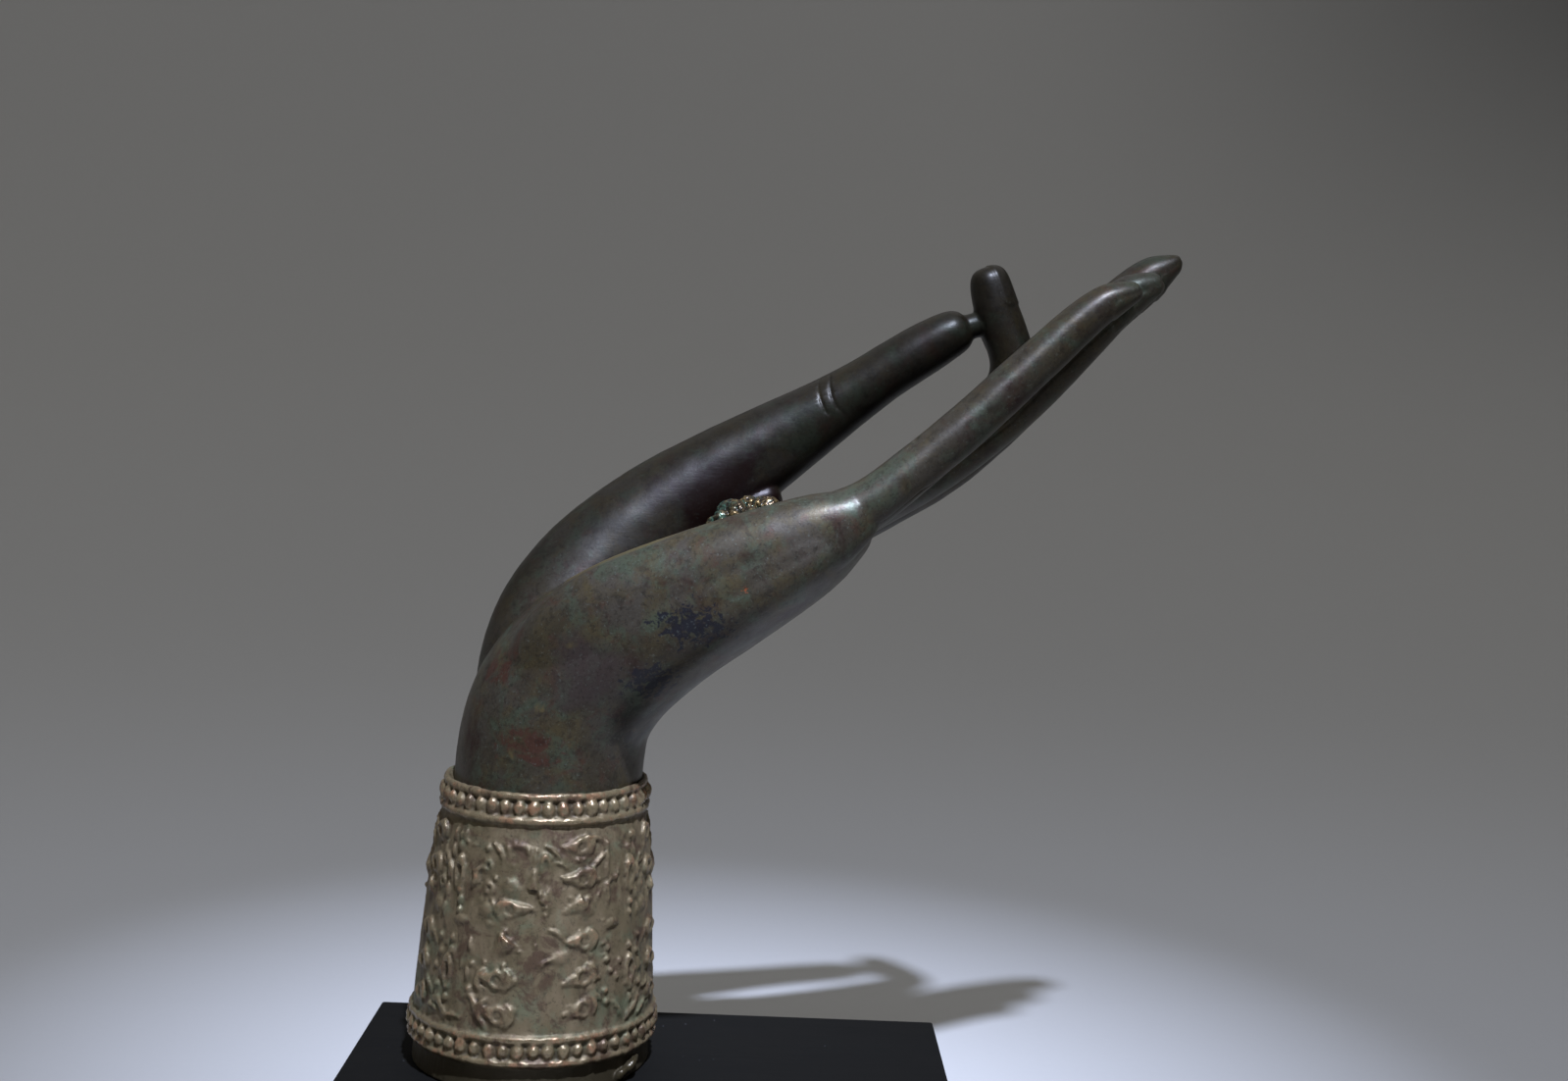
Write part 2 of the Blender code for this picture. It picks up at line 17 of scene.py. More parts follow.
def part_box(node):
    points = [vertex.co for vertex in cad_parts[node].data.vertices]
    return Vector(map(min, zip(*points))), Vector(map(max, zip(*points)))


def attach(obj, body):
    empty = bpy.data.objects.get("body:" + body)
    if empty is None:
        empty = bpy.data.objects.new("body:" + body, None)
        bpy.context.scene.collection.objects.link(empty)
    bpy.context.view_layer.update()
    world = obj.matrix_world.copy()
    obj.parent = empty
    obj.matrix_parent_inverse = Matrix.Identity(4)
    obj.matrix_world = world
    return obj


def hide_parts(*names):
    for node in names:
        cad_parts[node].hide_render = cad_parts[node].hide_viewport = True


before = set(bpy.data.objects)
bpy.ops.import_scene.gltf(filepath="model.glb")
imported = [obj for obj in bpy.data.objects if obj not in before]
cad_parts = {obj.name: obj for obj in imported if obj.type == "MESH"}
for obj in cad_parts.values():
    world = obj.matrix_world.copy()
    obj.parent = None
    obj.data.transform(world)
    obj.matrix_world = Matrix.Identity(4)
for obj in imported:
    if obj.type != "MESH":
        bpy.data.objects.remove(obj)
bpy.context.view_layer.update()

bl_info = {
    "name": "Bronze Hand Figurine",
    "version": (1, 0, 0),
    "blender": (4, 5, 0),
    "location": "View3D > Sidebar > Hand Figurine",
    "description": "Builds a patinated cast bronze hand with a relief cuff around its packed model",
    "category": "Object",
}

MM = 0.001

# Where the casting stands: over its fixing screw, on the lowest level of its own solid
CASTING_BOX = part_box("hand_casting")
SCREW_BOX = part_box("mounting_screw")
PLINTH_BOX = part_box("wooden_plinth")
FOOT = Vector(((SCREW_BOX[0][0] + SCREW_BOX[1][0]) / 2.0, 0.0, CASTING_BOX[0][2]))

# Limbs of the hand: x, y, z of the middle, then half the width and half the thickness
FOREARM_AND_PALM = (
    (2.0, 0.0, 60.0, 34.0, 30.0),
    (2.6, 0.0, 84.0, 34.0, 30.0),
    (3.2, 0.0, 101.0, 33.5, 30.4),
    (6.2, 0.0, 114.5, 34.0, 30.2),
    (13.5, 0.0, 125.5, 35.5, 29.0),
    (24.5, -0.5, 134.5, 37.5, 26.5),
    (39.5, -1.0, 142.0, 39.5, 21.5),
    (57.0, -1.5, 150.4, 41.0, 17.5),
    (73.5, -1.5, 160.6, 41.5, 15.8),
    (86.5, -1.5, 169.6, 40.5, 14.2),
    (93.0, -1.5, 174.6, 38.0, 11.4),
)
LITTLE_PAD = (
    (3.0, -9.0, 112.0, 17.0, 18.0),
    (6.0, -17.0, 130.0, 15.5, 18.0),
    (16.0, -24.0, 141.8, 14.0, 18.0),
    (36.6, -28.0, 152.4, 13.0, 17.5),
    (62.7, -30.0, 163.8, 11.8, 16.0),
    (85.5, -31.0, 173.9, 10.5, 14.0),
    (95.5, -30.5, 180.0, 9.2, 9.5),
)
OUTER_EDGE = (
    (22.5, -32.0, 138.0, 6.5, 10.0),
    (37.4, -34.2, 146.5, 6.8, 12.0),
    (54.8, -35.9, 154.0, 6.5, 12.0),
    (71.7, -36.0, 163.3, 6.4, 11.0),
    (85.3, -35.6, 171.4, 6.2, 9.0),
)
THUMB = (
    (-2.0, 8.0, 108.0, 20.0, 22.0),
    (0.6, 14.0, 136.0, 20.0, 23.2),
    (16.6, 22.0, 158.5, 18.0, 22.3),
    (41.0, 28.5, 180.0, 15.5, 18.5),
    (68.8, 31.0, 198.6, 12.5, 14.6),
    (88.9, 31.0, 212.0, 10.8, 11.0),
    (104.5, 30.0, 223.6, 10.0, 8.9),
    (119.5, 28.6, 234.0, 9.6, 8.9),
    (129.0, 28.0, 239.6, 8.4, 7.8),
)
THUMB_WEB = (
    (50.0, 26.0, 172.5, 10.0, 8.0),
    (61.0, 27.0, 178.6, 9.5, 7.4),
    (69.5, 27.5, 182.6, 8.5, 6.2),
)
INDEX_FINGER = (
    (88.0, 25.0, 172.5, 10.0, 8.6),
    (109.0, 27.0, 183.8, 9.6, 8.3),
    (128.0, 28.0, 199.5, 9.0, 8.0),
    (143.2, 28.3, 213.5, 8.6, 7.9),
    (151.0, 28.3, 225.5, 8.4, 7.9),
    (148.4, 28.2, 237.0, 8.0, 7.6),
    (143.4, 28.0, 248.0, 7.8, 7.6),
    (140.8, 28.0, 256.6, 6.9, 6.7),
)
MIDDLE_FINGER = (
    (86.0, 8.5, 171.0, 10.2, 9.5),
    (101.5, 8.6, 180.6, 10.2, 9.0),
    (118.3, 8.6, 189.6, 9.8, 8.5),
    (130.9, 8.4, 198.2, 9.2, 8.2),
    (143.3, 8.0, 210.4, 8.8, 8.0),
    (157.3, 7.2, 225.3, 8.4, 7.8),
    (169.1, 6.4, 239.2, 7.9, 7.6),
    (178.9, 5.8, 249.6, 7.4, 7.4),
    (187.6, 5.5, 257.6, 7.2, 7.0),
    (192.8, 5.4, 261.8, 6.4, 5.8),
    (197.2, 5.3, 264.2, 4.6, 3.4),
)
RING_FINGER = (
    (86.0, -10.0, 173.0, 10.2, 9.0),
    (101.0, -10.2, 183.0, 10.2, 8.4),
    (115.0, -10.2, 190.6, 9.6, 8.0),
    (127.8, -9.8, 199.5, 9.0, 7.9),
    (148.1, -9.0, 216.2, 8.4, 7.5),
    (163.8, -7.8, 233.8, 7.8, 7.2),
    (176.3, -7.2, 248.0, 7.2, 6.9),
    (182.4, -6.8, 254.4, 6.6, 6.3),
    (188.6, -6.6, 256.6, 4.8, 3.9),
)
LITTLE_FINGER = (
    (88.0, -28.5, 178.0, 9.8, 8.8),
    (101.0, -28.4, 183.8, 9.4, 8.0),
    (109.2, -28.0, 190.8, 9.0, 7.5),
    (131.3, -25.8, 210.1, 8.0, 7.2),
    (152.4, -22.8, 231.4, 7.2, 6.9),
    (168.2, -20.4, 246.8, 6.6, 6.3),
    (174.6, -19.8, 251.2, 6.0, 5.6),
    (180.2, -19.5, 253.2, 4.4, 3.4),
)
PINCH = (
    (132.0, 28.0, 241.0, 4.4, 4.4),
    (137.5, 28.0, 243.0, 4.0, 4.0),
    (143.0, 28.0, 244.0, 4.4, 4.4),
)
LIMBS = {
    "forearm_and_palm": FOREARM_AND_PALM,
    "little_pad": LITTLE_PAD,
    "outer_edge": OUTER_EDGE,
    "thumb": THUMB,
    "thumb_web": THUMB_WEB,
    "index_finger": INDEX_FINGER,
    "middle_finger": MIDDLE_FINGER,
    "ring_finger": RING_FINGER,
    "little_finger": LITTLE_FINGER,
    "pinch": PINCH,
}
LIMB_SIDES = 16
ROUNDING = ((0.5, 0.87), (0.85, 0.5))
LIMB_LEVELS = 3

# Nails: the finger, the nail's reach back from the tip, half its turn and its middle's turn in degrees
NAILS = (
    (THUMB, 15.0, 62.0, 80.0),
    (INDEX_FINGER, 15.5, 70.0, 0.0),
    (MIDDLE_FINGER, 15.0, 74.0, 0.0),
    (RING_FINGER, 14.0, 74.0, 0.0),
    (LITTLE_FINGER, 12.5, 74.0, 0.0),
)
NAIL_PROUD = 0.4
NAIL_CORNER = 3.5
NAIL_STEP = 0.9
NAIL_REACH = 13.0

# How close to the casting's box the skin is eased back, and a distance past every point of the casting
EASE_REACH = 1.5
FAR_AWAY = 1000.0

# Unevenness of the hand's skin: size and height of its noise
HAND_SIZE = 16.0
HAND_HEIGHT = 0.5

# Lines cut into the skin: points along the line, then half the width and the depth; raised where negative
CUT_LINES = (
    (((85.9, 31.5, 223.5), (85.8, 28.9, 222.9), (85.2, 24.0, 219.9), (86.2, 20.8, 215.7), (88.0, 19.9, 211.9),
      (90.0, 20.1, 210.2)), 0.8, 0.6),
    (((89.3, 31.0, 225.0), (89.0, 24.9, 223.0), (89.0, 22.3, 220.4), (89.7, 20.6, 217.2), (91.5, 20.0, 213.7),
      (93.8, 20.8, 211.2)), 0.8, 0.6),
    (((-19.0, 3.0, 127.0), (-17.5, 1.2, 131.5), (-14.4, 0.0, 136.9), (-9.7, -0.8, 142.2),
      (-5.1, -0.9, 146.9)), 1.5, 0.6),
    (((99.4, -36.3, 174.0), (106.7, -33.3, 180.7), (116.9, -32.6, 189.5), (125.9, -27.7, 196.4),
      (135.7, -18.1, 203.5), (144.7, -17.1, 210.9), (156.4, -16.5, 224.2), (168.3, -15.1, 236.4),
      (180.3, -13.3, 248.3), (186.0, -11.8, 253.0)), 0.6, 0.5),
    (((145.7, -30.9, 220.7), (157.4, -28.6, 232.6), (169.3, -26.3, 244.3), (177.6, -24.4, 252.5)), 0.5, 0.22),
    (((-2.6, -1.8, 148.0), (1.2, -2.4, 150.4), (5.0, -14.0, 153.6), (9.5, -24.8, 157.0), (21.6, -28.1, 164.0),
      (33.5, -29.6, 169.4), (45.4, -29.9, 174.4)), 1.1, -0.35),
)
CUT_SHARPNESS = 1.2
LINE_FADE = 7.0

# Edges rubbed to lighter metal, scratches, and two light dashes of painted reflection of the lamp: points
# along the line, half the width and how bare it is
WEAR_AND_PAINTED_GLINT_LINES = (
    (CUT_LINES[-1][0], 2.2, 0.9),
    (((45.4, -29.9, 174.4), (58.0, -29.0, 181.0), (70.0, -28.5, 186.5), (82.0, -28.0, 189.0)), 2.4, 0.5),
    (((-6.2, -31.5, 104.1), (-5.4, -31.9, 101.6)), 0.9, 1.0),
    (((0.8, -33.2, 117.8), (4.2, -33.9, 117.4)), 0.9, 1.0),
    # Painted reflection: two short light dashes where the lamp's two tubes shine on the outer side of the
    # palm
    (((11.2, -35.6, 138.4), (11.2, -35.6, 136.8)), 0.9, 1.0),
    (((12.7, -36.0, 138.4), (12.7, -36.0, 136.8)), 0.9, 1.0),
)

# Small dents: middle, reach and depth
NICKS = (
    ((114.6, -29.1, 205.0), 1.7, 1.0),
    ((175.5, 5.0, 232.6), 1.5, 0.7),
    ((192.0, 5.0, 250.5), 1.3, 0.6),
)

# Hollow of the casting, then the bar and boss across its foot
HOLLOW_IN_CUFF = (
    (0.0, 0.0, -8.0, 38.0, 32.5),
    (0.4, 0.0, 18.0, 37.5, 32.0),
    (1.2, 0.0, 48.0, 35.0, 30.0),
    (2.2, 0.0, 76.0, 31.5, 27.0),
)
WALL = 5.5
OPEN_STATIONS = slice(2, 9)
HAND_CUT = 80.0
TRIM_SIZE = 160.0
BAR = (16.0, 82.0, 9.0)
BAR_RISE = 0.6
BOSS_RADIUS = 9.0
BOSS_HEIGHT = 14.0
TAPPED_RADIUS = 3.3

# Cuff, as an oval turned profile: each height with its half width across X
CUFF_TOP = 92.0
CUFF_BOTTOM = 8.4
CUFF_DEPTH_RATIO = 1.15
CUFF_LEAN = 0.024
CUFF_SIDES = 160
FOOT_HALF_WIDTH = 38.2
FOOT_FLARE = 0.8
BAND_HEIGHT = 10.0
CORD_RADIUS = 1.3
CORD_TURNS = 8
RIM_DEPTH = 2.6
CUFF_PROFILE = (
    (8.4, 38.9),
    (20.0, 38.5),
    (29.0, 38.0),
    (52.0, 36.4),
    (72.5, 34.2),
    (80.0, 33.0),
    (92.0, 31.2),
)
BETWEEN_RIMS = slice(2, 5)

# Rows of beads in the two rims: how many, and how high; then the size of a bead
BEAD_ROWS = ((45, CUFF_TOP - BAND_HEIGHT / 2.0), (53, CUFF_BOTTOM + BAND_HEIGHT / 2.0))
BEAD_SIZE = (2.1, 2.7, 2.1)

# Relief of the cuff: panels and the chains between them as turns, the noise of its wear, and its full height
PANELS = 4
PANEL_TURN = 0.023
CHAIN_TURN = 0.131
STRAY_MOTIFS = 150
WEAR_SIZE = 3.4
WEAR_HEIGHT = 0.85
GRIT_SIZE = 1.4
GRIT_HEIGHT = 0.2
RELIEF_HEIGHT = 1.6
LEAST_WORN = 1.0

# Ornament in the palm: its middle, its lean in degrees and its dome, then rings of petals, each with how many
# there are, how far out, how high and how large
ORNAMENT_MIDDLE = (62.5, -6.0, 172.6)
ORNAMENT_TILT = -33.7
ORNAMENT_DISC = (13.5, 13.0, 7.8)
PETALS = ((9, 10.7, 3.4, (4.8, 3.6, 3.4)), (6, 5.6, 7.0, (3.4, 2.8, 3.0)))
ORNAMENT_BOSS = (4.6, 4.6, 3.6)
BOSS_LIFT = 8.2
GRANULES = 70
CRUST_SIZE = 1.4
CRUST_HEIGHT = 1.1

# Colours that lie over the hand's patina: name, size of the clouds, levels where they start and are full,
# share and shift of the pattern, then the middle and reach of the only place they lie at, if there is one
EVERYWHERE = ((0.0, 0.0, 0.0), (0.0, 0.0, 0.0))
HAND_LAYERS = (
    ("grey", 34.0, 0.42, 0.60, 0.8, 0.31, *EVERYWHERE),
    ("olive", 14.0, 0.48, 0.62, 0.8, 0.72, *EVERYWHERE),
    ("green", 12.0, 0.50, 0.62, 0.7, 0.55, *EVERYWHERE),
    ("red", 9.0, 0.55, 0.66, 0.55, 0.13, *EVERYWHERE),
    ("dark", 4.0, 0.52, 0.64, 0.5, 0.91, *EVERYWHERE),
    ("green", 7.0, 0.24, 0.40, 0.7, 0.15, (36.0, -30.0, 163.0), (34.0, 24.0, 13.0)),
    ("green", 7.0, 0.28, 0.44, 0.6, 0.44, (92.0, -32.0, 183.0), (26.0, 22.0, 16.0)),
    ("plum", 12.0, 0.14, 0.36, 0.75, 0.66, (18.0, -34.0, 130.0), (24.0, 26.0, 16.0)),
    ("red", 6.0, 0.26, 0.36, 0.9, 0.27, (-12.0, -26.0, 130.0), (13.0, 26.0, 15.0)),
    ("red", 6.0, 0.26, 0.36, 0.9, 0.57, (0.0, -30.0, 106.0), (20.0, 26.0, 12.0)),
    ("olive", 7.0, 0.24, 0.36, 0.8, 0.86, (-23.0, -10.0, 138.0), (12.0, 26.0, 24.0)),
    ("dark", 8.0, 0.22, 0.36, 0.7, 0.61, (33.0, -26.0, 113.0), (18.0, 30.0, 14.0)),
    # Red-brown patina deepened with painted shade in the palm's hollow under the thumb, by the ornament
    ("red_patina_and_hollow_shade", 20.0, 0.06, 0.22, 1.0, 0.37, (60.0, 8.0, 182.0), (36.0, 26.0, 24.0)),
    ("stain", 3.0, 0.31, 0.345, 0.9, 0.83, (48.0, -38.0, 146.0), (26.0, 24.0, 15.0)),
    ("stain", 2.6, 0.30, 0.335, 0.85, 0.46, (36.0, -32.0, 128.0), (20.0, 20.0, 12.0)),
    ("rust", 1.4, 0.44, 0.48, 0.9, 0.19, (64.2, -42.3, 158.1), (5.0, 9.0, 4.0)),
    ("dark", 1.1, 0.52, 0.64, 0.55, 0.77, *EVERYWHERE),
    ("pale", 0.9, 0.58, 0.72, 0.35, 0.05, *EVERYWHERE),
)

# The same for the cuff's ground, and for its crests
GROUND_LAYERS = (
    ("olive", 14.0, 0.40, 0.60, 0.8, 0.2, *EVERYWHERE),
    ("green", 10.0, 0.52, 0.66, 0.5, 0.7, *EVERYWHERE),
    ("green", 12.0, 0.30, 0.50, 0.7, 0.4, (-30.0, -20.0, 24.0), (20.0, 40.0, 24.0)),
    ("green", 12.0, 0.30, 0.50, 0.7, 0.9, (30.0, -24.0, 22.0), (20.0, 40.0, 22.0)),
    ("crease", 3.0, 0.56, 0.70, 0.5, 0.3, *EVERYWHERE),
)
CREST_LAYERS = (
    ("copper", 5.0, 0.50, 0.62, 0.7, 0.6, *EVERYWHERE),
    ("olive", 3.0, 0.52, 0.64, 0.6, 0.1, *EVERYWHERE),
)
OVER_ALL_LAYERS = (
    ("brown", 9.0, 0.52, 0.62, 0.8, 0.8, *EVERYWHERE),
    ("brown", 6.0, 0.34, 0.46, 0.85, 0.5, (-10.0, -42.0, 24.0), (15.0, 20.0, 14.0)),
    ("brown", 5.0, 0.36, 0.48, 0.8, 0.9, (4.0, -42.0, 41.0), (13.0, 20.0, 13.0)),
    ("brown", 6.0, 0.34, 0.48, 0.75, 0.3, (-33.0, -30.0, 56.0), (15.0, 30.0, 24.0)),
    ("brown", 6.0, 0.34, 0.48, 0.7, 0.6, (27.0, -33.0, 68.0), (14.0, 25.0, 18.0)),
    ("copper", 4.0, 0.38, 0.48, 0.6, 0.7, (2.0, -40.0, 87.0), (22.0, 20.0, 6.0)),
    ("crease", 1.3, 0.56, 0.68, 0.6, 0.4, *EVERYWHERE),
)
ORNAMENT_LAYERS = (
    ("salt", 3.5, 0.50, 0.60, 0.7, 0.2, *EVERYWHERE),
    ("crease", 2.2, 0.52, 0.60, 0.9, 0.7, *EVERYWHERE),
)
CRUST_LAYERS = (
    ("tarnish", 2.4, 0.44, 0.56, 0.9, 0.5, *EVERYWHERE),
    ("salt", 4.0, 0.26, 0.38, 1.0, 0.2, (56.0, -8.0, 178.0), (9.0, 16.0, 12.0)),
)

# Backdrop: a round sweep of paper, radius and height of each ring in metres; then the lamp and the camera
BACKDROP = (
    (0.01, 0.0),
    (0.5, 0.0),
    (1.0, 0.0),
    (1.35, 0.02),
    (1.65, 0.09),
    (1.9, 0.24),
    (2.05, 0.5),
    (2.12, 0.9),
    (2.15, 1.6),
)
LAMP_PLACE = (0.155, -0.68, 1.25)
LAMP_SIZE = 0.05
KEY_CONE = 23.0
SPILL_CONE = 78.0
POOL_MIDDLE = (0.02, 0.05, 0.0)
CAMERA_PLACE = (0.02841, -0.69863, 0.24518)
CAMERA_RIGHT = Vector((0.99910919, -0.00920981, 0.04118259))
CAMERA_DOWN = Vector((0.04047595, -0.0669396, -0.9969357))
CAMERA_FORWARD = Vector((0.01193834, 0.99771452, -0.06650719))


# Rings among the motifs: name, radius of the ring and of its wire, and how far it is drawn out
RING_MOTIFS = (
    ("ring", 2.25, 0.85, 1.0),
    ("loop", 1.3, 0.62, 1.0),
    ("oval", 1.9, 0.55, 1.7),
    ("long", 2.0, 0.85, 1.7),
)
RING_HEIGHT = 1.25

# Flattened beads by name and size, and wires by name: points with their share of the thickness, and thickness
FLAT_MOTIFS = {"bar": (0.75, 2.2, 0.9), "lump": (2.1, 1.9, 0.9)}
WIRE_MOTIFS = {
    "hook": (
        ((-0.9, -2.6, -0.1, 0.5), (0.6, -1.7, 0.4, 1.0), (1.3, 0.2, 0.5, 1.2), (0.5, 2.0, 0.4, 0.9),
         (-0.9, 2.5, 0.0, 0.5)),
        0.8,
    ),
    "sprig": (
        ((-3.0, 0.0, -0.2, 0.4), (-1.0, 0.7, 0.4, 1.0), (1.2, 0.2, 0.4, 0.9), (3.0, -1.0, -0.1, 0.4)),
        0.7,
    ),
}

# What an eye is made of: motif, shift along its tail, across it, lie in degrees, and scale
EYE = (
    ("ring", 0.0, 0.0, 0, 1.0, 1.0, 1.0),
    ("bead", 0.0, 0.0, 0, 1.4, 1.4, 0.45),
    ("fin", 4.4, 0.1, 0, 0.8, 1.0, 1.0),
    ("hook", -2.2, -0.2, 180, 1.2, 1.3, 0.8),
)

